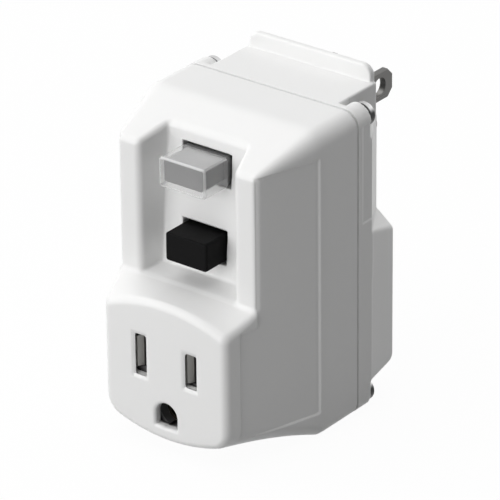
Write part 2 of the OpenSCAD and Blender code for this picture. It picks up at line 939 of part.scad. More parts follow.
// Flat load strap: contact pad, drop beside the coil, drop through the transformer, tab to the contact
module load_strap() {
    y = [y_strip, y_pad];
    x0 = pole_x - strip_w / 2;
    x1 = pole_x + strip_w / 2;
    run_hi = case_low + case_h + strip_w + 0.8;
    foot_hi = case_low - 1.2;
    foot_lo = foot_hi - strip_w;
    box([x0, x1], y, [run_hi - strip_w, bridge_lo + strip_w]);
    box([strap_in, x1], y, [run_hi - strip_w, run_hi]);
    box([strap_in, strap_out], y, [foot_lo, run_hi]);
    box([strap_in, pole_half + strip_t / 2], y, [foot_lo, foot_hi]);
    box([pole_half - strip_t / 2, pole_half + strip_t / 2], [y_web + strip_t, y_pad], [foot_lo, foot_hi]);
}

module live_load_strap() {
    color("peru")
    load_strap();
}

module neutral_load_strap() {
    color("peru")
    mirror([1, 0, 0])
    load_strap();
}

// Line strip from the blade's root round the switch pole to its fixed contact
module line_strip() {
    z = [bridge_hi - strip_w, bridge_hi];
    x_in = pole_half + blade_t / 2;
    x_out = pole_x + strip_w / 2 + 3.7;
    y_back = y_part + 2.4;
    box([pole_x - strip_w / 2, x_out], [y_strip, y_pad], z);
    box([x_out - strip_t, x_out], [y_strip, y_back], z);
    box([x_in, x_out], [y_back - strip_t, y_back], z);
    box([x_in, x_in + strip_t], [y_back - strip_t, y_back + 3.4], z);
}

module live_line_strip() {
    color("peru")
    line_strip();
}

module neutral_line_strip() {
    color("peru")
    mirror([1, 0, 0])
    line_strip();
}

// Rounded block outline centred on a button's axis
module pad_outline(w, h, r) {
    square([w - 2 * r, h], center = true);
    square([w, h - 2 * r], center = true);
    for (x = [-1, 1])
        for (z = [-1, 1])
            translate([x * (w / 2 - r), z * (h / 2 - r)])
            circle(r);
}

module reset_cap() {
    r = 1;
    color("gainsboro")
    translate([0, 0, z_reset])
    difference() {
        along_y([y_panel - reset_proud, y_cap_end])
        pad_outline(reset_w, reset_h, r);
        translate([0, 0, cap_room_z - z_reset])
        along_y([y_panel - reset_proud + cap_thin_t, y_cap_end + 1])
        pad_outline(cap_room_w, cap_room_h, 0.4);
    }
}

module reset_core() {
    color("gray")
    union() {
        translate([0, 0, cap_room_z])
        along_y([y_panel - reset_proud + cap_thin_t + hair, y_reset_flange + eps])
        pad_outline(cap_room_w - 2 * hair, cap_room_h - 2 * hair, 0.4);
        box([-reset_flange_hx, reset_flange_hx], [y_reset_flange, y_reset_flange + button_flange_t],
            [reset_flange_lo, reset_flange_hi]);
    }
}

// Dark band that shows at the panel while the contacts are open
module trip_band() {
    color([0.15, 0.15, 0.15])
    difference() {
        translate([0, 0, z_reset])
        along_y([y_cap_end, y_cap_end + band_w])
        pad_outline(reset_w - 0.3, reset_h - 0.3, 0.8);
        translate([0, 0, cap_room_z])
        along_y([y_cap_end - 1, y_cap_end + band_w + 1])
        pad_outline(cap_room_w, cap_room_h, 0.4);
    }
}

module reset_stem() {
    color("lightgray")
    union() {
        y_rod(0, z_reset, [y_reset_flange + button_flange_t, y_catch], stem_r);
        y_rod(0, z_reset, [y_catch - catch_l, y_catch], catch_r);
    }
}

module reset_spring() {
    y0 = y_reset_flange + button_flange_t;
    color("silver")
    translate([0, y0, z_reset])
    rotate([-90, 0, 0])
    coil_spring(3, 0.3, y_seat0 - y0, 6);
}

module test_button() {
    chamfer = 0.2;
    w = test_w / 2;
    h = test_h / 2;
    y0 = y_panel - test_proud;
    y1 = y_test_flange;
    color([0.1, 0.1, 0.1])
    union() {
        intersection() {
            translate([0, 0, z_test])
            along_y([y0, y1 + eps])
            pad_outline(test_w, test_h, 0.7);
            along_z([z_test - h, z_test + h])
            polygon([[-w + chamfer, y0], [w - chamfer, y0], [w, y0 + chamfer],
                [w, y1 + 1], [-w, y1 + 1], [-w, y0 + chamfer]]);
        }
        box([-test_flange_hx, test_flange_hx], [y1, y1 + button_flange_t],
            [z_test - test_flange_hz, z_test + test_flange_hz]);
        y_rod(0, z_test, [y1, y_test_bridge], test_stem_r);
    }
}

module test_bridge() {
    color("goldenrod")
    box([-test_bridge_hx, test_bridge_hx], [y_test_bridge, y_test_bridge + bridge_strip_t],
        [z_test - 1.3, z_test + 1.3]);
}

module test_spring() {
    y0 = y_test_flange + button_flange_t;
    color("silver")
    translate([0, y0, z_test])
    rotate([-90, 0, 0])
    coil_spring(2.6, 0.25, y_guide0 - y0, 5);
}

module test_posts() {
    color("goldenrod")
    both_sides()
    y_rod(test_post_x, z_test, [y_test_bridge + bridge_strip_t + test_travel + hair, y_board0], test_post_r);
}

module button_guide() {
    color("darkgray")
    difference() {
        box([-guide_hx, guide_hx], [y_guide0, y_guide1], [guide_z - guide_edge, z_test + guide_over]);
        y_rod(0, z_test, [y_guide0 - 1, y_guide1 + 1], test_stem_r + slide_gap);
        both_sides()
        y_rod(guide_x, guide_z, [y_guide0 - 1, y_guide1 + 1], guide_shank_r + hair);
    }
}

module guide_screws() {
    color("silver")
    both_sides()
    translate([guide_x, y_guide1, guide_z])
    pan_screw(guide_t + 4, guide_head_r, guide_head_h, guide_shank_r);
}

// Channel for the carriage with a front seat for the reset spring and two ears
module mechanism_frame() {
    in_x = block_hx + slide_gap;
    in_lo = block_lo - slide_gap;
    in_hi = block_hi + slide_gap;
    color("darkslategray")
    difference() {
        union() {
            box([-frame_hx, frame_hx], [y_seat0, y_frame], [frame_lo, frame_hi]);
            box([-ear_x - 2.4, ear_x + 2.4], [y_base, y_frame], [frame_lo, frame_lo + ear_h]);
        }
        box([-in_x, in_x], [y_seat1, y_base], [in_lo, in_hi]);
        box([-frame_hx - 1, frame_hx + 1], [y_seat1, y_base], [in_lo, arm_hi + 2 * slide_gap]);
        box([-latch_hx - air, latch_hx + air], [y_seat1, y_base], [frame_lo - 1, in_lo + 1]);
        y_rod(0, z_reset, [y_seat0 - 1, y_seat1 + 1], stem_bore_r);
        both_sides()
        y_rod(ear_x, ear_z, [y_base - 1, y_frame + 1], guide_shank_r + hair);
    }
}

module frame_screws() {
    color("silver")
    both_sides()
    translate([ear_x, y_base, ear_z])
    rotate([180, 0, 0])
    pan_screw(frame_base_t + 4.5, guide_head_r, guide_head_h, guide_shank_r);
}

// Sliding carriage: block around the reset stem, with an arm to each pole
module contact_carriage() {
    color("seagreen")
    difference() {
        union() {
            box([-block_hx, block_hx], [y_block0, y_block1], [block_lo, block_hi]);
            box([-pole_x - 2, pole_x + 2], [y_block0, y_block0 + 2], [arm_lo, arm_hi]);
        }
        y_rod(0, z_reset, [y_block0 - 1, y_block1 + 1], stem_bore_r);
        box([-latch_hx - slide_gap, latch_hx + slide_gap],
            [y_latch - slide_gap, y_latch + latch_t + slide_gap], [block_lo - 1, z_reset + catch_r + 2]);
        both_sides()
        y_rod(spring_pocket_x, spring_pocket_z, [y_block0 - 1, y_latch - 2 * slide_gap], spring_pocket_r);
    }
}

module carriage_springs() {
    color("silver")
    for (x = [-spring_pocket_x, spring_pocket_x])
        translate([x, y_seat1, spring_pocket_z])
        rotate([-90, 0, 0])
        coil_spring(0.95, 0.16, y_latch - 2 * slide_gap - y_seat1, 4);
}

// Plate across the stem, with a forked tab over the plunger's neck
module latch_plate() {
    y = [y_latch, y_latch + latch_t];
    slot = neck_r + air;
    color("lightsteelblue")
    difference() {
        union() {
            box([-latch_hx, latch_hx], y, [tab_z0, z_reset + catch_r + 1.6]);
            box([-latch_hx, latch_hx], [y_coil - slot - 1, y_coil + slot + close_travel], [tab_z0, tab_z1]);
        }
        y_rod(0, z_reset, [y[0] - 1, y[1] + 1], stem_bore_r);
        box([-plunger_head_r - air, plunger_head_r + air], [y[0] - 1, y[1] + 1],
            [tab_z1, tab_z1 + plunger_head_h + 2 * air]);
        box([-slot, slot], [y_coil - slot, y_coil + slot + close_travel + 1], [tab_z0 - 1, tab_z1 + 1]);
    }
}

module bridge() {
    box([pole_x - strip_w / 2, pole_x + strip_w / 2], [y_bridge, y_block0], [bridge_lo, bridge_hi]);
}

module live_bridge() {
    color("peru")
    bridge();
}

module neutral_bridge() {
    color("peru")
    mirror([1, 0, 0])
    bridge();
}

module moving_contacts() {
    color("white")
    both_sides()
    for (z = contact_zs)
        y_rod(pole_x, z, [y_bridge - contact_h, y_bridge], contact_r);
}

module fixed_contacts() {
    color("white")
    both_sides()
    for (z = contact_zs)
        y_rod(pole_x, z, [y_pad, y_fixed], contact_r);
}

module coil_bobbin() {
    color("ivory")
    difference() {
        union() {
            for (z = [coil_low + yoke_t, coil_top - yoke_t - flange_h])
                z_rod(0, y_coil, [z, z + flange_h], flange_r);
            z_rod(0, y_coil, [coil_low + yoke_t, coil_top - yoke_t], bobbin_r);
        }
        z_rod(0, y_coil, [coil_low, coil_top], plunger_r + slide_gap);
    }
}

module coil_winding() {
    color("chocolate")
    difference() {
        z_rod(0, y_coil, [coil_low + yoke_t + flange_h, coil_top - yoke_t - flange_h], coil_r);
        z_rod(0, y_coil, [coil_low, coil_top], bobbin_r);
    }
}

module coil_yoke() {
    color("slategray")
    difference() {
        union() {
            for (z = [coil_low, coil_top - yoke_t])
                box([-flange_r, flange_r], [y_coil - flange_r, y_board0], [z, z + yoke_t]);
            box([-flange_r, flange_r], [y_board0 - yoke_t, y_board0], [coil_low, coil_top]);
        }
        z_rod(0, y_coil, [coil_top - yoke_t - 1, coil_top + 1], plunger_r + slide_gap);
    }
}

module coil_plunger() {
    color("lightslategray")
    union() {
        z_rod(0, y_coil, [plunger_low, plunger_top], plunger_r);
        z_rod(0, y_coil, [plunger_low, tab_z1 + 0.1 + plunger_head_h], neck_r);
        z_rod(0, y_coil, [tab_z1 + 0.1, tab_z1 + 0.1 + plunger_head_h], plunger_head_r);
    }
}

module plunger_spring() {
    z0 = coil_low + yoke_t;
    color("silver")
    translate([0, y_coil, z0])
    coil_spring(1.4, 0.2, plunger_spring_l, 5);
}

module circuit_board() {
    color("darkgreen")
    difference() {
        box([-board_hx, board_hx], [y_board0, y_board1], [board_low, board_top]);
        both_sides()
        for (z = board_screw_zs)
            y_rod(board_screw_x, z, [y_board0 - 1, y_board1 + 1], guide_shank_r + hair);
    }
}

module board_screws() {
    color("silver")
    both_sides()
    for (z = board_screw_zs)
        translate([board_screw_x, y_board0, z])
        rotate([180, 0, 0])
        pan_screw(board_t + 4, guide_head_r, guide_head_h, guide_shank_r);
}

// Open ring cup for the two cores, with a foot on the board
module transformer_case() {
    color("navy")
    difference() {
        union() {
            z_rod(0, y_case, [case_low, case_low + case_h], core_out + 2 * case_t);
            box([-6, 6], [y_case + core_in, y_board0], [case_low, case_low + case_h]);
        }
        z_rod(0, y_case, [case_low - 1, case_low + case_h + 1], core_in - 2 * case_t + 0.2);
        difference() {
            z_rod(0, y_case, [case_low + case_t, case_low + case_h + 1], core_out + case_t);
            z_rod(0, y_case, [case_low - 1, case_low + case_h + 2], core_in - case_t);
        }
    }
}

module toroid(z) {
    difference() {
        z_rod(0, y_case, [z, z + core_h], core_out);
        z_rod(0, y_case, [z - 1, z + core_h + 1], core_in);
    }
}

module sense_core() {
    color("chocolate")
    toroid(case_low + case_t);
}

module neutral_core() {
    color("sienna")
    toroid(case_low + 2 * case_t + core_h);
}

// Components on the board's front face
module control_chip() {
    color([0.12, 0.12, 0.13])
    box([-chip_hx, chip_hx], [y_board0 - chip_t, y_board0], [part_z - chip_hz, part_z + chip_hz]);
}

module thyristor() {
    color([0.12, 0.12, 0.13])
    difference() {
        y_rod(thyristor_x, part_z, [y_board0 - thyristor_l, y_board0], thyristor_r);
        translate([thyristor_x, 0, part_z])
        box([-thyristor_r - 1, thyristor_r + 1], [y_board0 - thyristor_l - 1, y_board0 + 1],
            [thyristor_flat, thyristor_r + 1]);
    }
}

module varistor() {
    color("steelblue")
    translate([varistor_x, y_board0 - varistor_r, beside_z])
    rotate([0, 90, 0])
    cylinder(h = varistor_t, r = varistor_r);
}

module smoothing_capacitor() {
    color("midnightblue")
    y_rod(smoothing_x, beside_z, [y_board0 - smoothing_l, y_board0], smoothing_r);
}

module film_capacitor() {
    color("orangered")
    box([film_x, film_x + film_w], [y_board0 - film_t, y_board0], [film_z, film_z + film_h]);
}

// Axial bodies lying on the board
module axial_parts(xs, z, length, r) {
    for (x = xs)
        z_rod(x, y_board0 - r, [z, z + length], r);
}

module resistors() {
    color("burlywood")
    axial_parts(resistor_xs, part_z - resistor_l / 2, resistor_l, resistor_r);
}

module diodes() {
    color([0.2, 0.2, 0.2])
    axial_parts(diode_xs, diode_z, diode_l, diode_r);
}

front_cover();
rear_cover();
cover_screws();
live_blade();
neutral_blade();
ground_pin();
live_contact();
neutral_contact();
ground_contact();
contact_carrier();
ground_strap();
live_load_strap();
neutral_load_strap();
live_line_strip();
neutral_line_strip();
reset_cap();
reset_core();
trip_band();
reset_stem();
reset_spring();
test_button();
test_bridge();
test_spring();
test_posts();
button_guide();
guide_screws();
mechanism_frame();
frame_screws();
contact_carriage();
carriage_springs();
latch_plate();
live_bridge();
neutral_bridge();
moving_contacts();
fixed_contacts();
coil_bobbin();
coil_winding();
coil_yoke();
coil_plunger();
plunger_spring();
circuit_board();
board_screws();
transformer_case();
sense_core();
neutral_core();
control_chip();
thyristor();
varistor();
smoothing_capacitor();
film_capacitor();
resistors();
diodes();
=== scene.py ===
import json
import math
import bpy
import numpy as np
from mathutils import Matrix, Vector


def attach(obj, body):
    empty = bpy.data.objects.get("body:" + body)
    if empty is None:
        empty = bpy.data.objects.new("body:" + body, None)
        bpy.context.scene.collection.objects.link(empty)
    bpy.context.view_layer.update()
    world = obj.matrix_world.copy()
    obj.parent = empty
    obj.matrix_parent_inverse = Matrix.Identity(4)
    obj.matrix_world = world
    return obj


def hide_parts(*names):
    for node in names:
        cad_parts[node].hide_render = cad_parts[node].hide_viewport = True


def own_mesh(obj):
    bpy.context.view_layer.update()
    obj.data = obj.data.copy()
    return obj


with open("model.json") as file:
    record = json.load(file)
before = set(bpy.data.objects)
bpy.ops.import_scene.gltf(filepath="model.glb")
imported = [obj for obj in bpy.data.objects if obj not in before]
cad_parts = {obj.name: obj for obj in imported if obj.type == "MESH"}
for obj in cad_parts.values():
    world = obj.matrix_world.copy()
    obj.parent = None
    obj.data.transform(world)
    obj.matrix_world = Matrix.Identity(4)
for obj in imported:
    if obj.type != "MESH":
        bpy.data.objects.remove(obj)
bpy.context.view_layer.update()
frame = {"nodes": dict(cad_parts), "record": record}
print("frame loaded")

mm = 0.001
diagonal = 0.7071  # distance from a 45 degree face for each unit along an axis
white = (1, 1, 1)


# edges: a and b are distances to two surfaces, below zero inside
def roundMax(a, b, r):  # overlap of two solids, its edge rounded
    u = np.maximum(a + r, 0)
    v = np.maximum(b + r, 0)
    return np.minimum(np.maximum(a, b), -r) + np.sqrt(u * u + v * v)


def roundMin(a, b, r):  # two solids joined, the corner filled
    return -roundMax(-a, -b, r)


def softMax(a, b, k):  # shallow crease
    h = np.maximum(k - np.abs(a - b), 0) / k
    return np.maximum(a, b) + h * h * k / 4


def ramp(a, b, t):  # smooth step from 0 at a to 1 at b
    s = np.clip((t - a) / (b - a), 0, 1)
    return s * s * (3 - 2 * s)


# forms: each stretch is its low and high end
def within(t, stretch):
    return np.maximum(stretch[0] - t, t - stretch[1])


def patchOf(y, z, ys, zs):  # rectangle seen from the side
    return np.maximum(within(y, ys), within(z, zs))


def boxOf(x, y, z, xs, ys, zs):
    return np.maximum(within(x, xs), patchOf(y, z, ys, zs))


def rodOf(x, y, z, px, pz, r, ys):  # round bar along y
    return np.maximum(np.sqrt((x - px) ** 2 + (z - pz) ** 2) - r, within(y, ys))


# surface net: turns of settling, reach in cells, probe as a share of fine, least squared slope
meshing = dict(turns=4, reach=0.75, probe=0.25, flattest=0.05)
corners = [(i, j, k) for i in (0, 1) for j in (0, 1) for k in (0, 1)]


def steps(spans):  # net lines: each span is start, stop, spacing
    lines = []
    for start, stop, size in spans:
        count = max(1, int(round((stop - start) / size)))
        lines += list(np.linspace(start, stop, count, endpoint=False))
    return np.array(lines + [spans[-1][1]])


def gradient(shape, p, h):
    out = np.empty_like(p)
    for i in range(3):
        d = np.zeros(3)
        d[i] = h
        a, b = p + d, p - d
        out[:, i] = (shape(a[:, 0], a[:, 1], a[:, 2]) - shape(b[:, 0], b[:, 1], b[:, 2])) / (2 * h)
    return out


def crossings(d, cell, axes):  # for each cell, the mean of the points where its edges cut the surface
    total = np.zeros((len(cell), 3))
    hits = np.zeros(len(cell))
    for a in range(len(corners)):
        for b in range(a + 1, len(corners)):
            if sum(np.abs(np.subtract(corners[a], corners[b]))) != 1:
                continue
            ca, cb = cell + corners[a], cell + corners[b]
            da = d[ca[:, 0], ca[:, 1], ca[:, 2]]
            db = d[cb[:, 0], cb[:, 1], cb[:, 2]]
            cut = (da < 0) != (db < 0)
            t = np.where(cut, da / np.where(cut, da - db, 1), 0)
            for i in range(3):
                pa, pb = axes[i][ca[:, i]], axes[i][cb[:, i]]
                total[:, i] += np.where(cut, pa + (pb - pa) * t, 0)
            hits += cut
    return total / hits[:, None]


def settle(shape, start, reach, fine):  # move the points onto the surface
    point = start
    for turn in range(meshing["turns"]):
        g = gradient(shape, point, fine * meshing["probe"])
        value = shape(point[:, 0], point[:, 1], point[:, 2])
        point = point - g * (value / np.maximum((g * g).sum(1), meshing["flattest"]))[:, None]
        point = np.clip(point, start - reach, start + reach)
    return point


def netFaces(inside, number):  # one face for each net line that the surface cuts
    quads = []
    for axis in range(3):
        u, v = (axis + 1) % 3, (axis + 2) % 3
        along = [slice(None)] * 3
        ahead = [slice(None)] * 3
        along[axis], ahead[axis] = slice(0, -1), slice(1, None)
        lo, hi = inside[tuple(along)], inside[tuple(ahead)]
        for flip, where in ((False, lo & ~hi), (True, ~lo & hi)):
            at = np.argwhere(where)
            for side in (u, v):
                at = at[(at[:, side] > 0) & (at[:, side] < number.shape[side])]
            ring = []
            for su, sv in ((-1, -1), (0, -1), (0, 0), (-1, 0)):
                q = at.copy()
                q[:, u] += su
                q[:, v] += sv
                ring.append(number[q[:, 0], q[:, 1], q[:, 2]])
            ring = np.stack(ring, 1)
            quads.append(ring[:, ::-1] if flip else ring)
    return np.concatenate(quads)


def skin(name, shape, sizes, spots=((0, 0, 0),)):  # surface where shape is zero, in mm, at each spot
    axes = [steps(sizes[key]) for key in ("netX", "netY", "netZ")]
    d = shape(axes[0][:, None, None], axes[1][None, :, None], axes[2][None, None, :])
    d = np.broadcast_to(d, [len(lines) for lines in axes])
    inside = d < 0
    nx, ny, nz = (n - 1 for n in d.shape)
    part = [inside[i:i + nx, j:j + ny, k:k + nz] for i, j, k in corners]
    mixed = np.logical_or.reduce(part) & ~np.logical_and.reduce(part)
    cell = np.argwhere(mixed)
    number = np.full(mixed.shape, -1, np.int64)
    number[mixed] = np.arange(len(cell))
    reach = np.stack([np.diff(axes[i])[cell[:, i]] for i in range(3)], 1) * meshing["reach"]
    point = settle(shape, crossings(d, cell, axes), reach, sizes["fine"])
    normal = gradient(shape, point, sizes["fine"])
    normal /= np.maximum(np.linalg.norm(normal, axis=1), 1e-9)[:, None]
    quads = netFaces(inside, number)
    quads = np.concatenate([quads + i * len(point) for i in range(len(spots))])
    point = np.concatenate([point + spot for spot in spots])
    normal = np.concatenate([normal] * len(spots))
    mesh = bpy.data.meshes.new(name)
    mesh.from_pydata((point * mm).tolist(), [], quads.tolist())
    mesh.polygons.foreach_set("use_smooth", np.ones(len(mesh.polygons), bool))
    mesh.normals_split_custom_set_from_vertices(normal.tolist())
    piece = bpy.data.objects.new(name, mesh)
    bpy.context.scene.collection.objects.link(piece)
    print(name, len(point), "points")
    return piece


placed = []  # pieces made here, with their slots


def place(piece, body, slotName, *nodes):
    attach(piece, body)
    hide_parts(*nodes)
    placed.append((piece, slotName))


# housing sizes in mm, shared by both covers; over is how far a cut runs past a face
house = dict(halfWidth=21.95, top=8.45, bottom=-59.4, yFace=-50.0, yPanel=-42.2, yCrease=-26.7, yPart=-15.0,
             yRim=-10.2, topRound=3.6, lowRound=3.0, wall=2.2, screwX=18.85, screwZ=(5.35, -56.6), bossR=3.1,
             pilotR=0.95, over=1.0)

# front cover; the two leans bring a slanted face's distance down to its true size
cover = dict(draft=16.0, topFall=5.15, crease=0.5, noseLean=0.95, underLean=0.97, shelf=-25.8,
             shelfFillet=0.8, faceTop=-26.3, faceLow=-57.0, faceArc=36.5, arcHalf=24.0, faceRound=1.5,
             panelRound=1.2, edgeRound=1.3, edgeGrows=(-12, 2), partRound=0.12,
             recessW=23.9, recessBackW=19.7, recessDeep=7.0, recessRound=1.1, recessCorner=0.4, lean=3.78,
             foot=1.3, footDeep=5.16, footCorner=0.5,
             fieldDeep=0.32, fieldEdge=0.22, fieldLap=0.4, fieldY=(-46.2, -41.9, -27.2),
             fieldZ=(-53.4, -29.3, 3.0),
             slotX=6.35, slotZ=-39.4, slotW=2.5, slotH={-1: 8.8, 1: 7.3}, slotRound=0.1, bevel=0.85,
             bevelDeep=0.5, lip=0.65, pocketX=2.45, pocketDeep=3.5, leafH=6.8, leafRoom=0.3,
             groundZ=-51.29, groundW=5.4, groundH=5.25, groundRound=0.7,
             resetWindow=(6.15, (-4.65, 2.65)), testWindow=(5.55, (-21.25, -13.85)), windowY=(-40.0, -30.0),
             windowRound=0.2, tapR=1.45, tapEnd=-26.2,
             postX=11.5, postZ=-22.05, postR=2.0, postY=(-35.0, -28.6), postHole=-33.1,
             fine=0.12, netX=[(-22.6, 22.6, 0.38)], netZ=[(-60.1, 9.2, 0.38)],
             netY=[(-50.7, -45.0, 0.33), (-45.0, -34.0, 0.4), (-34.0, -28.6, 0.7), (-28.6, -25.0, 0.4),
                   (-25.0, -16.2, 0.9), (-16.2, -14.5, 0.25)])


def coverSolid(x, y, z):
    h, c = house, cover
    ax = np.abs(x)
    draft = math.radians(c["draft"])
    tapered = (ax - h["halfWidth"] + math.tan(draft) * (h["yCrease"] - y)) * math.cos(draft)
    side = softMax(tapered, ax - h["halfWidth"], c["crease"])
    fieldFront, fieldStep, fieldEnd = c["fieldY"]
    fieldLow, fieldShoulder, fieldTop = c["fieldZ"]
    tall = patchOf(y, z, (fieldStep, fieldEnd), (fieldLow, fieldTop))
    short = patchOf(y, z, (fieldFront, fieldStep + c["fieldLap"]), (fieldLow, fieldShoulder))
    side = side + c["fieldDeep"] * ramp(c["fieldEdge"], -c["fieldEdge"], np.minimum(tall, short))
    fall = c["topFall"] / (h["yCrease"] - h["yPanel"])
    falling = (z - h["top"] + fall * (h["yCrease"] - y)) / math.hypot(1, fall)
    top = softMax(z - h["top"], falling, c["crease"])
    bow = c["faceArc"] - np.sqrt(c["faceArc"] ** 2 - np.minimum(ax, c["arcHalf"]) ** 2)
    t = np.clip((y - h["yFace"]) / (h["yPanel"] - h["yFace"]), 0, 1)
    noseTop = (z - ((c["faceTop"] - bow) * (1 - t) + c["shelf"] * t)) * c["noseLean"]
    t = np.clip((y - h["yFace"]) / (h["yCrease"] - h["yFace"]), 0, 1)
    under = ((c["faceLow"] + bow) * (1 - t) + h["bottom"] * t - z) * c["underLean"]
    block = roundMax(side, under, h["lowRound"])
    nose = roundMax(h["yFace"] - y, noseTop, c["faceRound"])
    upper = roundMax(h["yPanel"] - y, top, c["panelRound"])
    flare = (c["recessW"] - c["recessBackW"]) / 2 / c["recessDeep"]
    recessSide = (ax - c["recessW"] / 2 + flare * (y - h["yPanel"])) / math.hypot(1, flare)
    lean = math.tan(math.radians(c["lean"]))
    back = y - h["yPanel"] - c["recessDeep"] + (h["top"] - c["topFall"] - z) * lean
    foot = c["shelf"] + c["foot"] * (y - h["yPanel"]) / c["footDeep"] - z
    recess = roundMax(roundMax(recessSide, back, c["recessCorner"]), foot, c["footCorner"])
    upper = roundMax(upper, -recess, c["recessRound"])
    front = roundMin(nose, upper, c["shelfFillet"])
    grow = np.clip((y - h["yPanel"]) / (h["yCrease"] - h["yPanel"]), 0, 1) * ramp(*c["edgeGrows"], z)
    return roundMax(front, block, c["edgeRound"] + (h["topRound"] - c["edgeRound"]) * grow)


def coverShape(x, y, z):
    h, c = house, cover
    ax = np.abs(x)
    solid = coverSolid(x, y, z)
    shell = np.maximum(solid, -(solid + h["wall"]))
    post = c["postX"], c["postZ"]
    for sz in h["screwZ"]:
        boss = rodOf(ax, y, z, h["screwX"], sz, h["bossR"], (h["yCrease"], h["yPart"] + h["over"]))
        shell = np.minimum(shell, np.maximum(boss, solid))
    shell = np.minimum(shell, rodOf(ax, y, z, *post, c["postR"], c["postY"]))
    for sz in h["screwZ"]:
        tap = rodOf(ax, y, z, h["screwX"], sz, c["tapR"], (c["tapEnd"], h["yPart"] + h["over"]))
        shell = np.maximum(shell, -tap)
    pilot = rodOf(ax, y, z, *post, h["pilotR"], (c["postHole"], c["postY"][1] + h["over"]))
    shell = np.maximum(shell, -pilot)
    for half, zs in (c["resetWindow"], c["testWindow"]):
        shell = roundMax(shell, -boxOf(x, y, z, (-half, half), c["windowY"], zs), c["windowRound"])
    steep = c["bevel"] / c["bevelDeep"]
    lead = c["bevel"] - steep * (y - h["yFace"])
    pocketEnd = h["yFace"] + c["pocketDeep"]
    for s in (-1, 1):
        px = np.abs(x - s * c["slotX"]) - c["slotW"] / 2
        pz = np.abs(z - c["slotZ"]) - c["slotH"][s] / 2
        hole = np.maximum(np.maximum(px, pz), y - pocketEnd)
        mouth = np.maximum(np.maximum(px - lead, pz - lead) / math.hypot(1, steep), -lead / steep)
        high = max(c["slotH"][s], c["leafH"]) / 2 + c["leafRoom"]
        pocket = boxOf(x - s * c["slotX"], y, z - c["slotZ"], (-c["pocketX"], c["pocketX"]),
                       (h["yFace"] + c["lip"], pocketEnd), (-high, high))
        shell = roundMax(shell, -np.minimum(np.minimum(hole, mouth), pocket), c["slotRound"])
    r = c["groundW"] / 2
    foot = np.maximum(ax - r, within(z, (c["groundZ"] + r - c["groundH"], c["groundZ"])))
    arch = np.minimum(np.sqrt(x * x + (z - c["groundZ"]) ** 2) - r, foot)
    shell = roundMax(shell, -np.maximum(arch, y - pocketEnd), c["groundRound"])
    return roundMax(shell, y - h["yPart"], c["partRound"])


place(skin("frontCover", coverShape, cover), "housing", "white_housing", "front_cover")

# rear cover: rim, lower block with its facets, plug block, deck and flange
rear = dict(rimRound=0.35, fillet=0.4, blockTop=-19.4, blockLow=-53.3, blockRound=0.8, lowRise=0.3,
            lowRound=1.6, sideIn=1.95, edge=0.4, facetDrop=3.4, facetX=15.7, facetCrease=0.6,
            plugHalf=15.6, plugTop=1.6, plugLow=-30.0, plugRound=0.7,
            deckHalf=16.0, deckIn=0.5, deckLow=-20.0, deckRound=0.4, deckEdge=0.3,
            flangeHalf=15.3, flangeTop=12.0, flangeLow=-10.0, flangeThick=1.6, flangeRound=2.4,
            flangeEdge=0.5, groove=0.8, grooveW=0.35, grooveEdge=0.06,
            padDeep=0.25, padEdge=0.2, padX=(20.7, 21.4), padY=(-13.1, -9.8), padZ=(-16.5, 4.85),
            reliefEnd=23.0, reliefZ=(6.65, 9.8), reliefPast=0.5, reliefRound=0.25,
            clearR=1.65, clearY=(-17.0, -9.0), postR=2.4, postEnd=-1.2,
            posts=[dict(x=11.8, z=-5.8, front=-14.3, hole=-8.3),
                   dict(x=13.0, z=-12.5, front=-10.4, hole=-5.4),
                   dict(x=13.0, z=-42.0, front=-10.4, hole=-5.4)],
            wallY=(-4.0, 1.0), bladeX=6.35, bladeT=1.62, bladeH=6.45, pinZ=-11.89, pinR=2.73,
            fine=0.12, netX=[(-22.6, 22.6, 0.38)], netZ=[(-60.1, 12.8, 0.38)],
            netY=[(-15.3, -14.3, 0.1), (-14.3, -9.2, 0.3), (-9.2, -4.0, 0.45), (-4.0, 0.5, 0.25)])


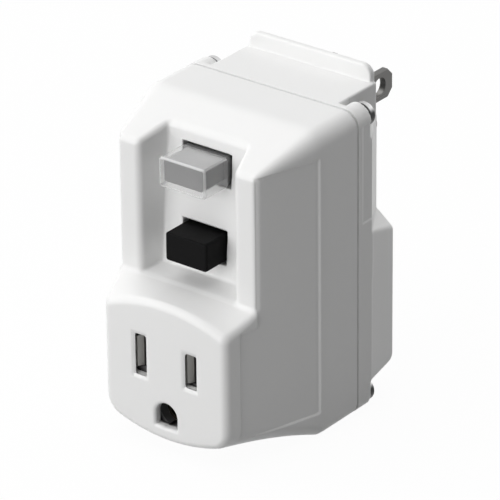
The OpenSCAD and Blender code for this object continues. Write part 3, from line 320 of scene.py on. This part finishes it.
def rearSolid(x, y, z):
    h, r = house, rear
    ax = np.abs(x)
    seam = h["yPart"] + r["grooveW"]
    inset = r["groove"] * ramp(seam + r["grooveEdge"], seam - r["grooveEdge"], y)
    pad = patchOf(y, z, r["padY"], r["padZ"])
    inset = inset + r["padDeep"] * ramp(r["padEdge"], -r["padEdge"], pad) * ramp(*r["padX"], ax)
    outline = roundMax(roundMax(ax - h["halfWidth"] + inset, z - h["top"] + inset, h["topRound"]),
                       h["bottom"] + inset - z, h["lowRound"])
    rim = roundMax(outline, y - h["yRim"], r["rimRound"])
    part = (y - h["yRim"]) / -h["yRim"]  # 0 at the rim, 1 at the rear face
    side = ax - h["halfWidth"] + r["sideIn"] * part
    low = r["blockLow"] + r["lowRise"] * part - z
    a = np.array([h["halfWidth"], h["yRim"], r["blockTop"]])  # the facet's three corners
    b = np.array([h["halfWidth"] - r["sideIn"], 0, r["blockTop"] - r["facetDrop"]])
    c = np.array([r["facetX"], 0, r["blockTop"]])
    n = np.cross(b - a, c - a)
    n = n / np.linalg.norm(n) * np.sign(n[1])
    facet = (ax - a[0]) * n[0] + (y - a[1]) * n[1] + (z - a[2]) * n[2]
    lower = roundMax(roundMax(low, y, r["lowRound"]), z - r["blockTop"], r["blockRound"])
    lower = softMax(roundMax(lower, side, r["edge"]), facet, r["facetCrease"])
    slope = (h["halfWidth"] - r["plugHalf"]) / -h["yRim"]
    slant = (ax - r["plugHalf"] + slope * y) / math.hypot(1, slope)
    upper = roundMax(slant, z - r["plugTop"], r["plugRound"])
    upper = roundMax(upper, np.maximum(y, r["plugLow"] - z), r["plugRound"])
    deck = roundMax(ax - r["deckHalf"], z - h["top"], r["deckRound"])
    deck = np.maximum(roundMax(deck, y + r["deckIn"], r["deckEdge"]), r["deckLow"] - z)
    flange = roundMax(ax - r["flangeHalf"], z - r["flangeTop"], r["flangeRound"])
    thick = np.abs(y + r["flangeThick"] / 2) - r["flangeThick"] / 2
    flange = roundMax(flange, np.maximum(thick, r["flangeLow"] - z), r["flangeEdge"])
    blocks = roundMin(roundMin(lower, upper, r["fillet"]), deck, r["fillet"])
    body = np.maximum(roundMin(rim, blocks, r["fillet"]), outline)
    return np.maximum(roundMin(body, flange, r["fillet"]), y)


def rearShape(x, y, z):
    h, r = house, rear
    ax = np.abs(x)
    solid = rearSolid(x, y, z)
    shell = np.maximum(solid, -(solid + h["wall"]))
    bosses = [rodOf(ax, y, z, h["screwX"], sz, h["bossR"], (h["yPart"], h["yRim"])) for sz in h["screwZ"]]
    for boss in bosses:
        shell = np.minimum(shell, np.maximum(boss, solid))
    relief = boxOf(ax, y, z, (r["deckHalf"], r["reliefEnd"]), (r["padY"][0], h["yRim"] + r["reliefPast"]),
                   r["reliefZ"])
    shell = roundMax(shell, -np.maximum(relief, -bosses[0]), r["reliefRound"])
    for p in r["posts"]:
        shell = np.minimum(shell, rodOf(ax, y, z, p["x"], p["z"], r["postR"], (p["front"], r["postEnd"])))
        pilot = rodOf(ax, y, z, p["x"], p["z"], h["pilotR"], (p["front"] - h["over"], p["hole"]))
        shell = np.maximum(shell, -pilot)
    for sz in h["screwZ"]:
        shell = np.maximum(shell, -rodOf(ax, y, z, h["screwX"], sz, r["clearR"], r["clearY"]))
    bladeSlot = boxOf(ax - r["bladeX"], y, z, (-r["bladeT"] / 2, r["bladeT"] / 2), r["wallY"],
                      (-r["bladeH"] / 2, r["bladeH"] / 2))
    pinHole = rodOf(x, y, z, 0, r["pinZ"], r["pinR"], r["wallY"])
    shell = np.maximum(shell, -np.minimum(bladeSlot, pinHole))
    return np.maximum(shell, h["yPart"] - y)


place(skin("rearCover", rearShape, rear), "housing", "white_housing", "rear_cover")
print("covers made")

# reset button's clear cap, hollow from behind
reset = dict(z=-1.0, half=5.8, high=3.3, corner=0.9, side=1.0, thin=0.5, low=1.3, front=-43.5, end=-35.98,
             edge=0.5, rim=0.1, fine=0.06, netX=[(-6.2, 6.2, 0.2)], netZ=[(-4.7, 2.7, 0.17)],
             netY=[(-43.9, -41.9, 0.15), (-41.9, -35.5, 0.4)])


def capShape(x, y, z):
    r = reset
    sides = roundMax(np.abs(x) - r["half"], np.abs(z - r["z"]) - r["high"], r["corner"])
    outside = roundMax(sides, r["front"] - y, r["edge"])
    inner = r["half"] - r["side"]
    hollow = boxOf(x, y, z - r["z"], (-inner, inner), (r["front"] + r["thin"], r["end"] + house["over"]),
                   (r["low"] - r["high"], r["high"] - r["thin"]))
    return roundMax(np.maximum(outside, -hollow), y - r["end"], r["rim"])


place(skin("resetCap", capShape, reset), "reset", "clear_cap", "reset_cap")

# black test button: key, flange behind the panel, stem
test = dict(z=-17.55, half=5.2, high=3.05, corner=0.6, front=-42.6, chamfer=0.2, edge=0.25, lap=0.3,
            flange=-34.07, flangeHalf=6.6, flangeHigh=4.65, flangeT=1.0, stemR=1.6, stemEnd=-27.1,
            fine=0.06, netX=[(-7.1, 7.1, 0.22)], netZ=[(-22.6, -12.5, 0.22)],
            netY=[(-43.0, -41.4, 0.15), (-41.4, -34.4, 0.4), (-34.4, -32.7, 0.15), (-32.7, -26.7, 0.3)])


def testShape(x, y, z):
    t = test
    ax, az = np.abs(x), np.abs(z - t["z"])
    sides = roundMax(ax - t["half"], az - t["high"], t["corner"])
    slant = (ax - t["half"] + t["chamfer"] - (y - t["front"])) * diagonal
    key = roundMax(roundMax(sides, t["front"] - y, t["edge"]), slant, t["edge"])
    key = np.maximum(key, y - t["flange"] - t["lap"])
    flange = boxOf(x, y, z - t["z"], (-t["flangeHalf"], t["flangeHalf"]),
                   (t["flange"], t["flange"] + t["flangeT"]), (-t["flangeHigh"], t["flangeHigh"]))
    stem = rodOf(x, y, z, 0, t["z"], t["stemR"], (t["flange"], t["stemEnd"]))
    return np.minimum(np.minimum(key, flange), stem)


place(skin("testButton", testShape, test), "test", "black_button", "test_button")
print("buttons made")

# plug blades, one shape at two places
blade = dict(x=6.35, half=0.76, high=3.175, root=-11.0, tip=17.3, tipCut=1.6, hole=12.9, holeR=2.0,
             holeRound=0.15, edge=0.22, seat=-2.2, shoulder=1.6, shoulderL=2.0, fine=0.05,
             netX=[(5.3, 7.4, 0.15)], netY=[(-11.4, 10.4, 0.4), (10.4, 17.7, 0.2)], netZ=[(-5.2, 3.6, 0.24)])


def bladeShape(x, y, z):
    b = blade
    thick = np.abs(x - b["x"]) - b["half"]
    outline = patchOf(y, z, (b["root"], b["tip"]), (-b["high"], b["high"]))
    outline = np.maximum(outline, (np.abs(z) - b["high"] + b["tipCut"] + y - b["tip"]) * diagonal)
    ear = patchOf(y, z, (b["seat"] - b["shoulderL"], b["seat"]), (-b["high"] - b["shoulder"], 0))
    outline = np.minimum(outline, ear)
    hole = b["holeR"] - np.sqrt((y - b["hole"]) ** 2 + z ** 2)
    return roundMax(roundMax(thick, outline, b["edge"]), hole, b["holeRound"])


blades = [("liveBlade", "live_blade", 0), ("neutralBlade", "neutral_blade", -2 * blade["x"])]
for name, nodeName, shift in blades:
    place(skin(name, bladeShape, blade, [(shift, 0, 0)]), "housing", "plated_blade", nodeName)

# ground pin: shank with a blunt nose, root and collar inside the wall
pin = dict(z=-11.89, r=2.38, rootR=2.68, root=-9.0, collarR=3.28, collarT=1.6, tip=19.8, nose=1.9, blunt=1.35,
           undercut=0.25, fine=0.06, netX=[(-3.6, 3.6, 0.22)], netZ=[(-15.5, -8.3, 0.22)],
           netY=[(-9.4, -0.4, 0.4), (-0.4, 0.6, 0.09), (0.6, 17.0, 0.6), (17.0, 20.3, 0.2)])


def pinShape(x, y, z):
    p = pin
    away = np.sqrt(x * x + (z - p["z"]) ** 2)
    nose = np.sqrt(np.maximum(y - p["tip"] + p["nose"], 0) ** 2 * p["blunt"] + away ** 2) - p["r"]
    shank = np.maximum(nose, within(y, (0, p["tip"])))
    shank = np.maximum(shank, np.minimum(away - p["r"] + p["undercut"], p["undercut"] - y))
    root = np.maximum(away - p["rootR"], within(y, (p["root"], 0)))
    collar = np.maximum(away - p["collarR"], within(y, (-house["wall"] - p["collarT"], -house["wall"])))
    return np.minimum(np.minimum(shank, root), collar)


place(skin("groundPin", pinShape, pin), "housing", "plated_blade", "ground_pin")
print("plug made")

# cover screws: domed heads with a cross, one shape at four places
screw = dict(headR=2.55, headH=2.4, headRound=0.35, dome=9.0, crossW=0.36, crossR=1.65, crossDeep=1.05,
             crossLean=0.35, crossRound=0.08, shankR=1.4, shankL=15.0, pitch=0.9, threadDeep=0.5,
             threadStart=(-2.0, -2.6), threadLean=0.8, fine=0.05, netX=[(-2.8, 2.8, 0.16)],
             netY=[(-15.3, 0.0, 0.22), (0.0, 2.7, 0.13)], netZ=[(-2.8, 2.8, 0.16)])
screwSpots = [(sx * house["screwX"], house["yRim"], sz) for sx in (-1, 1) for sz in house["screwZ"]]


def screwShape(x, y, z):
    s = screw
    away = np.sqrt(x * x + z * z)
    ball = np.sqrt(away ** 2 + (y - s["headH"] + s["dome"]) ** 2) - s["dome"]
    head = np.maximum(roundMax(away - s["headR"], ball, s["headRound"]), -y)
    arms = np.minimum(np.maximum(np.abs(x) - s["crossW"], np.abs(z) - s["crossR"]),
                      np.maximum(np.abs(z) - s["crossW"], np.abs(x) - s["crossR"]))
    cross = np.maximum(arms, s["headH"] - s["crossDeep"] + away * s["crossLean"] - y)
    head = roundMax(head, -cross, s["crossRound"])
    turn = np.abs(((y / s["pitch"] - np.arctan2(z, x) / (2 * math.pi)) % 1) - 0.5)  # 0 on the thread's crest
    thread = away - s["shankR"] + s["threadDeep"] * turn * ramp(*s["threadStart"], y)
    shank = np.maximum(thread * s["threadLean"], within(y, (-s["shankL"], 0)))
    return np.minimum(head, shank)


place(skin("coverScrews", screwShape, screw, screwSpots), "housing", "dark_screw", "cover_screws")
print("screws made")

# springs as smooth wire, each wound from its fixed end to its free end
wireNet = dict(rings=28, sides=10)  # rings for each turn, sides around the wire
springs = [
    dict(name="resetSpring", node="reset_spring", joint="reset_press", r=3.0, wire=0.3, turns=6, keep=0.585,
         axis=1, fixed=-23.8, free=-32.0, at=[(0, -1.0)]),
    dict(name="testSpring", node="test_spring", joint="test_press", r=2.6, wire=0.25, turns=5, keep=0.597,
         axis=1, fixed=-28.6, free=-33.07, at=[(0, -17.55)]),
    dict(name="carriageSprings", node="carriage_springs", joint="carriage_close", r=0.95, wire=0.16, turns=4,
         keep=0.516, axis=1, fixed=-22.3, free=-19.2, at=[(-3.4, 1.6), (3.4, 1.6)]),
    dict(name="plungerSpring", node="plunger_spring", joint="plunger_pull", r=1.4, wire=0.2, turns=5,
         keep=0.84, axis=2, fixed=-24.8, free=-19.8, at=[(0, -18.5)]),
]


def coil(s):
    low, high = sorted((s["fixed"], s["free"]))
    rings, sides = s["turns"] * wireNet["rings"], wireNet["sides"]
    points, faces = [], []
    for u, v in s["at"]:
        base = len(points)
        for i in range(rings + 1):
            t = i / rings
            a = 2 * math.pi * s["turns"] * t
            rise = low + s["wire"] + (high - low - 2 * s["wire"]) * t
            for j in range(sides):
                b = 2 * math.pi * j / sides
                q = s["r"] + s["wire"] * math.cos(b)
                w = rise + s["wire"] * math.sin(b)
                lying = (u + q * math.cos(a), w, v - q * math.sin(a))
                upright = (u + q * math.cos(a), v + q * math.sin(a), w)
                points.append([c * mm for c in (lying if s["axis"] == 1 else upright)])
        for i in range(rings):
            here, after = base + i * sides, base + (i + 1) * sides
            for j in range(sides):
                k = (j + 1) % sides
                faces.append([here + j, here + k, after + k, after + j])
        faces.append([base + j for j in reversed(range(sides))])
        faces.append([base + rings * sides + j for j in range(sides)])
    mesh = bpy.data.meshes.new(s["name"])
    mesh.from_pydata(points, [], faces)
    mesh.polygons.foreach_set("use_smooth", [len(f) == 4 for f in faces])
    piece = bpy.data.objects.new(s["name"], mesh)
    bpy.context.scene.collection.objects.link(piece)
    place(piece, "housing", "spring_steel", s["node"])
    u, v = s["at"][0]
    anchor = (0, s["fixed"], 0) if s["axis"] == 1 else (u, v, s["fixed"])
    tuple(c * mm for c in anchor)
    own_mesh(piece)


for spring in springs:
    coil(spring)
print("springs made")


class Wire:  # a shader socket: sums on it add Math nodes
    def __init__(self, finish, socket):
        self.finish, self.socket = finish, socket

    def maths(self, operation, *values):
        return self.finish.node("ShaderNodeMath", {"operation": operation}, dict(enumerate(values)))

    def __add__(self, other):
        return self.maths("ADD", self, other)

    def __sub__(self, other):
        return self.maths("SUBTRACT", self, other)

    def __rsub__(self, other):
        return self.maths("SUBTRACT", other, self)

    def __mul__(self, other):
        return self.maths("MULTIPLY", self, other)

    def __abs__(self):
        return self.maths("ABSOLUTE", self)

    def most(self, other):
        return self.maths("MAXIMUM", self, other)

    def swing(self, amount):  # a noise about its middle
        return (self - 0.5) * amount

    __radd__ = __add__
    __rmul__ = __mul__


class Finish:  # a material, or the world, and its nodes
    def __init__(self, name, store=bpy.data.materials):
        self.owner = store.new(name)
        self.owner.use_nodes = True
        self.tree = self.owner.node_tree
        self.tree.nodes.clear()
        self.spot = self.node("ShaderNodeTexCoord", out="Object")

    def node(self, kind, settings=None, sockets=None, out=0):
        made = self.tree.nodes.new(kind)
        for key, value in (settings or {}).items():
            if key == "stops":
                stops = made.color_ramp.elements
                while len(stops) < len(value):
                    stops.new(0.5)
                for stop, (position, colour) in zip(stops, value):
                    stop.position, stop.color = position, colour
            elif key == "blend":
                made.color_ramp.interpolation = value
            else:
                setattr(made, key, value)
        for key, value in (sockets or {}).items():
            if isinstance(value, Wire):
                self.tree.links.new(value.socket, made.inputs[key])
            else:
                made.inputs[key].default_value = value
        return Wire(self, made.outputs[out]) if made.outputs else None

    def mix(self, amount, first, second):
        return self.node("ShaderNodeMix", {"data_type": "RGBA"}, {0: amount, 6: first, 7: second}, 2)

    def noise(self, scale, detail, stretch=(1, 1, 1)):
        spot = self.node("ShaderNodeVectorMath", {"operation": "MULTIPLY"}, {0: self.spot, 1: stretch})
        return self.node("ShaderNodeTexNoise", None, {"Vector": spot, "Scale": scale, "Detail": detail})

    def along(self, axis):  # place along an axis, in metres
        return self.node("ShaderNodeSeparateXYZ", None, {0: self.spot}, axis)

    def facing(self, axis):  # 1 where the surface looks along an axis
        normal = self.node("ShaderNodeTexCoord", out="Normal")
        return self.node("ShaderNodeSeparateXYZ", None, {0: normal}, axis)

    def rise(self, value, low, high, way="SMOOTHSTEP"):  # 0 at low, 1 at high
        return self.node("ShaderNodeMapRange", {"interpolation_type": way}, {0: value, 1: low, 2: high})

    def surface(self, sockets, height, strength, deep=0.00002):
        bump = self.node("ShaderNodeBump", None, {"Height": height, "Strength": strength, "Distance": deep})
        shader = self.node("ShaderNodeBsdfPrincipled", None, {**sockets, "Normal": bump})
        self.node("ShaderNodeOutputMaterial", None, {"Surface": shader})
        return self.owner


def shade(colour, gain):
    return tuple(min(c * gain, 1.0) for c in colour) + (1.0,)


def mouldedPlastic(name, colour, rough=0.45, grain=2800, strength=0.18, drift=0.03, shine=0.5):
    f = Finish(name)
    cloud = f.noise(55, 3)
    fine = f.noise(grain, 3)
    tint = f.mix(cloud, shade(colour, 1 - drift), shade(colour, 1 + drift))
    speck = f.mix((fine - 0.45) * 0.25, tint, shade(colour, 0.9))
    return f.surface({"Base Color": speck, "Roughness": rough + fine.swing(0.16) + cloud.swing(0.08),
                      "IOR": 1.5, "Specular IOR Level": shine}, fine, strength)


def stampedMetal(name, colour, rough=0.28, along=(1, 0.06, 1), scale=3000, tarnish=0.24, strength=0.12):
    f = Finish(name)
    drawn = f.noise(scale, 2, along)
    cloud = f.noise(180, 4)
    tone = f.mix(cloud * tarnish, shade(colour, 1), shade(colour, 0.72))
    tone = f.mix((drawn - 0.4) * 0.35, tone, shade(colour, 0.86))
    return f.surface({"Base Color": tone, "Metallic": 1.0,
                      "Roughness": rough + drawn.swing(0.2) + cloud.swing(0.14)}, drawn, strength)


def gloss(name, colour, rough=0.18, scale=700, strength=0.12):
    f = Finish(name)
    cloud = f.noise(120, 3)
    dimple = f.noise(scale, 2)
    tone = f.mix(cloud, shade(colour, 0.9), shade(colour, 1.08))
    return f.surface({"Base Color": tone, "Roughness": rough + cloud.swing(0.1), "IOR": 1.52,
                      "Coat Weight": 0.3, "Coat Roughness": 0.08}, dimple, strength, 0.00004)


# the cap: hazy clear moulding, whiter along its edges from edgeFrom to edgeTo mm off a corner, partly the
# haze of the wall seen edge-on and partly a painted highlight
clear = dict(tones=(0.86, 0.92), rough=0.2, film=0.12, haze=0.06, edge=0.4, edgeFrom=0.65, edgeTo=0.2)


def clearPlastic(name):
    f, c = Finish(name), clear
    fine = f.noise(1500, 3)
    cloud = f.noise(300, 2)
    near = []
    reaches = [(0, 0.0, reset["half"]), (2, reset["z"], reset["high"]), (1, 0.0, -reset["front"])]
    for axis, middle, reach in reaches:
        away = abs(f.along(axis) - middle * mm)
        near.append(f.rise(away, (reach - c["edgeFrom"]) * mm, (reach - c["edgeTo"]) * mm))
    side, top, front = near
    # painted highlight along the cap's edges, together with the haze of the wall seen edge-on
    edge = f.node("ShaderNodeMath", {"operation": "MAXIMUM", "use_clamp": True}, {
        0: side * top, 1: (side + top) * front})
    tone = f.mix(cloud, *[shade(white, tone) for tone in c["tones"]])
    return f.surface({"Base Color": tone, "Roughness": c["rough"] + fine.swing(0.08), "IOR": 1.49,
                      "Alpha": edge * c["edge"] + cloud * c["haze"] + c["film"]}, fine, 0.06)


# the screws: a painted highlight (bright) where they face up, dark below, and painted shade in the seat under
# the head, which fades over seat mm past the rim
paintedScrewLight = dict(dark=(0.035, 0.035, 0.036, 1), bright=(0.6, 0.6, 0.6, 1), dirt=(0.03, 0.03, 0.03, 1),
               seat=(0.5, 0.9))


def screwSteel(name):
    f, s = Finish(name), paintedScrewLight
    cloud = f.noise(400, 3)
    drawn = f.noise(1800, 2)
    # lit: painted highlight where the head faces up
    lit = f.rise(f.facing(2), 0.3, 0.8)
    # painted shade in the seat under the head: the highlight fades in over seat mm past the rim
    pastSeatShade = f.rise(f.along(1), *[(house["yRim"] + end) * mm for end in s["seat"]])
    tone = f.mix(cloud * 0.4, f.mix(lit * pastSeatShade, s["dark"], s["bright"]), s["dirt"])
    return f.surface({"Base Color": tone, "Metallic": 1.0, "Roughness": 0.32 + drawn.swing(0.2)}, drawn, 0.12)


def coreWithPaintedTopLight(name, top, rest):  # the core: painted light, paler on top than on its front and sides
    f = Finish(name)
    cloud = f.noise(250, 3)
    fine = f.noise(2800, 3)
    # painted light: the up-facing parts take the paler top tone
    tone = f.mix(f.rise(f.facing(2), 0.3, 0.8, "LINEAR"), shade(rest, 1), shade(top, 1))
    tone = f.mix(cloud * 0.3, tone, shade(rest, 0.8))
    return f.surface({"Base Color": tone, "Roughness": 0.5 + fine.swing(0.16)}, fine, 0.18)


def woundWire(name, colour, pitch=0.00022):  # turns of wire around an upright bobbin
    f = Finish(name)
    angle = f.along(2) * (2 * math.pi / pitch)
    turns = angle.maths("SINE", angle)
    cloud = f.noise(240, 3)
    tone = f.mix(turns * 0.3 + 0.3, shade(colour, 1.1), shade(colour, 0.55))
    tone = f.mix(cloud * 0.3, tone, shade(colour, 0.7))
    return f.surface({"Base Color": tone, "Metallic": 0.6, "Roughness": 0.3 + cloud.swing(0.15)},
                     turns, 0.5, 0.00006)


def tapeCore(name, colour, middle=(0, -0.0225, 0)):  # rolled tape: rings around the core's axis
    f = Finish(name)
    spot = f.node("ShaderNodeVectorMath", {"operation": "SUBTRACT"}, {0: f.spot, 1: middle})
    rings = f.node("ShaderNodeTexWave", {"wave_type": "RINGS", "rings_direction": "Z"},
                   {"Vector": spot, "Scale": 900, "Distortion": 0.4})
    cloud = f.noise(200, 3)
    tone = f.mix(rings, shade(colour, 0.8), shade(colour, 1.25))
    tone = f.mix(cloud * 0.4, tone, shade(colour, 0.6))
    return f.surface({"Base Color": tone, "Metallic": 0.5, "Roughness": 0.5 + cloud.swing(0.2)}, rings, 0.3)


def laminate(name, colour):  # solder-masked board with the tracks showing under the mask
    f = Finish(name)
    flat = f.node("ShaderNodeCombineXYZ", None, {0: f.along(0), 1: f.along(2)})
    tracks = f.node("ShaderNodeTexBrick", {"offset": 0.37}, {
        "Vector": flat, "Scale": 60, "Mortar Size": 0.03, "Brick Width": 0.42, "Row Height": 0.16}, "Fac")
    weave = f.noise(2400, 2)
    tone = f.mix(tracks, shade(colour, 0.9), shade(colour, 1.6))
    tone = f.mix(weave * 0.25, tone, shade(colour, 0.7))
    return f.surface({"Base Color": tone, "Roughness": 0.32 + weave.swing(0.1), "Coat Weight": 0.4},
                     tracks, 0.25, 0.00003)


# the resistors' rings: start and end along the body, colour
bands = [(0.2, 0.3, (0.35, 0.12, 0.04, 1)), (0.38, 0.48, (0.02, 0.02, 0.02, 1)),
         (0.56, 0.66, (0.6, 0.08, 0.05, 1)), (0.82, 0.9, (0.55, 0.4, 0.12, 1))]


def banded(name, colour, low=-0.0455, length=0.006):  # lacquered axial body with four rings
    f = Finish(name)
    body = shade(colour, 1)
    stops = [(0.0, body)]
    for start, end, ring in bands:
        stops += [(start, ring), (end, body)]
    tone = f.node("ShaderNodeValToRGB", {"stops": stops, "blend": "CONSTANT"}, {
        0: (f.along(2) - low) * (1 / length)})
    cloud = f.noise(500, 3)
    tone = f.mix(cloud * 0.2, tone, shade(colour, 0.75))
    return f.surface({"Base Color": tone, "Roughness": 0.25 + cloud.swing(0.1), "Coat Weight": 0.3},
                     cloud, 0.1)


finishes = {
    "white_housing": mouldedPlastic("whiteHousing", (0.83, 0.83, 0.825), 0.42, drift=0.012),
    "clear_cap": clearPlastic("clearCap"),
    # the core's paler top is painted light
    "grey_core": coreWithPaintedTopLight("greyCore", (0.42, 0.42, 0.42), (0.085, 0.085, 0.085)),
    # the trip band: dark grey in place of its red, painted shade at the cap's base
    "trip_dark": gloss("tripDark", (0.15, 0.15, 0.15)),
    "black_button": mouldedPlastic("blackButton", (0.005, 0.005, 0.0052), 0.55, 3400, 0.2, 0.08, 0.05),
    "dark_screw": screwSteel("darkScrew"),
    "plated_blade": stampedMetal("platedBlade", (0.13, 0.128, 0.124), 0.3, (1, 0.05, 1)),
    "contact_brass": stampedMetal("contactBrass", (0.78, 0.6, 0.3), 0.28),
    # the ground contact: bronze darkened near black, painted shade inside the ground opening
    "socket_bronze": stampedMetal("socketBronzeAndShade", (0.05, 0.042, 0.03), 0.5),
    "tinned_strap": stampedMetal("tinnedStrap", (0.42, 0.415, 0.4), 0.42, (1, 1, 0.08)),
    "copper_strip": stampedMetal("copperStrip", (0.72, 0.42, 0.28), 0.26, (1, 1, 0.08)),
    "silver_contact": stampedMetal("silverContact", (0.86, 0.86, 0.84), 0.2, (1, 1, 1), 1500),
    "carrier_plastic": mouldedPlastic("carrierPlastic", (0.1, 0.1, 0.1), 0.5, drift=0.06),
    "guide_plastic": mouldedPlastic("guidePlastic", (0.55, 0.55, 0.56), 0.45),
    "carriage_plastic": mouldedPlastic("carriagePlastic", (0.12, 0.3, 0.2), 0.42, drift=0.06),
    "bobbin_plastic": mouldedPlastic("bobbinPlastic", (0.85, 0.82, 0.72), 0.45),
    "case_plastic": mouldedPlastic("casePlastic", (0.06, 0.08, 0.16), 0.4, drift=0.06),
    "plated_steel": stampedMetal("platedSteel", (0.6, 0.6, 0.62), 0.32, (1, 1, 0.3), 2200),
    "spring_steel": stampedMetal("springSteel", (0.66, 0.66, 0.68), 0.24, (1, 1, 1), 2600),
    "coil_copper": woundWire("coilCopper", (0.55, 0.22, 0.08)),
    "core_metal": tapeCore("coreMetal", (0.16, 0.15, 0.15)),
    "board_laminate": laminate("boardLaminate", (0.06, 0.22, 0.1)),
    "black_component": mouldedPlastic("blackComponent", (0.04, 0.04, 0.04), 0.38, 3600, 0.3, 0.08),
    "blue_component": gloss("blueComponent", (0.08, 0.18, 0.36)),
    "orange_component": gloss("orangeComponent", (0.7, 0.28, 0.06)),
    "tan_component": banded("tanComponent", (0.68, 0.56, 0.4)),
}
slotOf = {entry["node"]: entry["material_slot"] for entry in frame["record"]["subparts"]}
for nodeName, piece in frame["nodes"].items():
    piece.data.materials.clear()
    piece.data.materials.append(finishes[slotOf[nodeName]])
for piece, slotName in placed:
    piece.data.materials.append(finishes[slotName])
print("finishes made", len(finishes))

# floor, light and camera, their places in metres
studio = dict(floor=-0.0597, floorSize=6.0, floorTone=0.38, floorShown=0.95, floorGlow=0.96, fleck=0.03,
              fleckTone=0.3, sky=0.02, aim=(0.0, -0.025, -0.025), lampFar=0.9)
lamps = [dict(name="key", power=2.7, size=1.0, towards=(-0.6, -0.78, 0.2)),
         dict(name="front", power=8.4, size=1.0, towards=(-0.25, -0.96, 0.05)),
         dict(name="overhead", power=5.6, size=1.2, towards=(-0.05, -0.05, 1.0)),
         dict(name="left", power=3.6, size=1.2, towards=(-0.6, 0.1, 0.8)),
         dict(name="behind", power=2.4, size=0.8, towards=(0.2, 0.95, 0.25))]
view = dict(place=(0.4978, -0.6644, 0.3792), right=(0.7933, 0.6086, -0.00945), up=(-0.2644, 0.3586, 0.8951),
            back=(0.5483, -0.7077, 0.4455), lens=323.52, sensor=36.0, clip=(0.05, 20))


def seen(f):  # 1 for rays that show the backdrop: straight, mirrored or through clear plastic
    straight = f.node("ShaderNodeLightPath", out="Is Camera Ray")
    rays = straight.socket.node.outputs
    return straight.most(Wire(f, rays["Is Glossy Ray"])).most(Wire(f, rays["Is Transmission Ray"]))


half = studio["floorSize"] / 2
floorMesh = bpy.data.meshes.new("floor")
floorCorners = [(x * half, y * half, 0) for x, y in ((-1, -1), (1, -1), (1, 1), (-1, 1))]
floorMesh.from_pydata(floorCorners, [], [(0, 1, 2, 3)])
floor = bpy.data.objects.new("floor", floorMesh)
floor.location.z = studio["floor"]
bpy.context.scene.collection.objects.link(floor)
paper = Finish("floorPaper")
shown = seen(paper)
tone = paper.mix(shown, shade(white, studio["floorTone"]), shade(white, studio["floorShown"]))
tone = paper.mix(paper.noise(3, 2) * studio["fleck"], tone, shade(white, studio["fleckTone"]))
matt = paper.node("ShaderNodeBsdfDiffuse", None, {"Color": tone})
glow = paper.node("ShaderNodeEmission", None, {"Color": shade(white, 1), "Strength": 1.0})
sheet = paper.node("ShaderNodeMixShader", None, {0: shown * studio["floorGlow"], 1: matt, 2: glow})
paper.node("ShaderNodeOutputMaterial", None, {"Surface": sheet})
floorMesh.materials.append(paper.owner)

air = Finish("sky", bpy.data.worlds)
soft = air.node("ShaderNodeBackground", None, {"Color": shade(white, 1), "Strength": studio["sky"]})
bright = air.node("ShaderNodeBackground", None, {"Color": shade(white, 1), "Strength": 1.0})
backdrop = air.node("ShaderNodeMixShader", None, {0: seen(air), 1: soft, 2: bright})
air.node("ShaderNodeOutputWorld", None, {"Surface": backdrop})
bpy.context.scene.world = air.owner

for lamp in lamps:
    softBox = bpy.data.lights.new(lamp["name"], "AREA")
    softBox.energy, softBox.size = lamp["power"], lamp["size"]
    stand = bpy.data.objects.new(lamp["name"], softBox)
    towards = Vector(lamp["towards"]).normalized()
    stand.location = Vector(studio["aim"]) + towards * studio["lampFar"]
    stand.rotation_euler = towards.to_track_quat("Z", "Y").to_euler()
    bpy.context.scene.collection.objects.link(stand)

lensData = bpy.data.cameras.new("camera")
lensData.lens, lensData.sensor_width = view["lens"], view["sensor"]
lensData.clip_start, lensData.clip_end = view["clip"]
camera = bpy.data.objects.new("camera", lensData)
rows = [[view[key][i] for key in ("right", "up", "back", "place")] for i in range(3)]
camera.matrix_world = Matrix(rows + [[0, 0, 0, 1]])
bpy.context.scene.collection.objects.link(camera)
bpy.context.scene.camera = camera
bpy.context.scene.view_settings.view_transform = "Standard"
print("studio made")
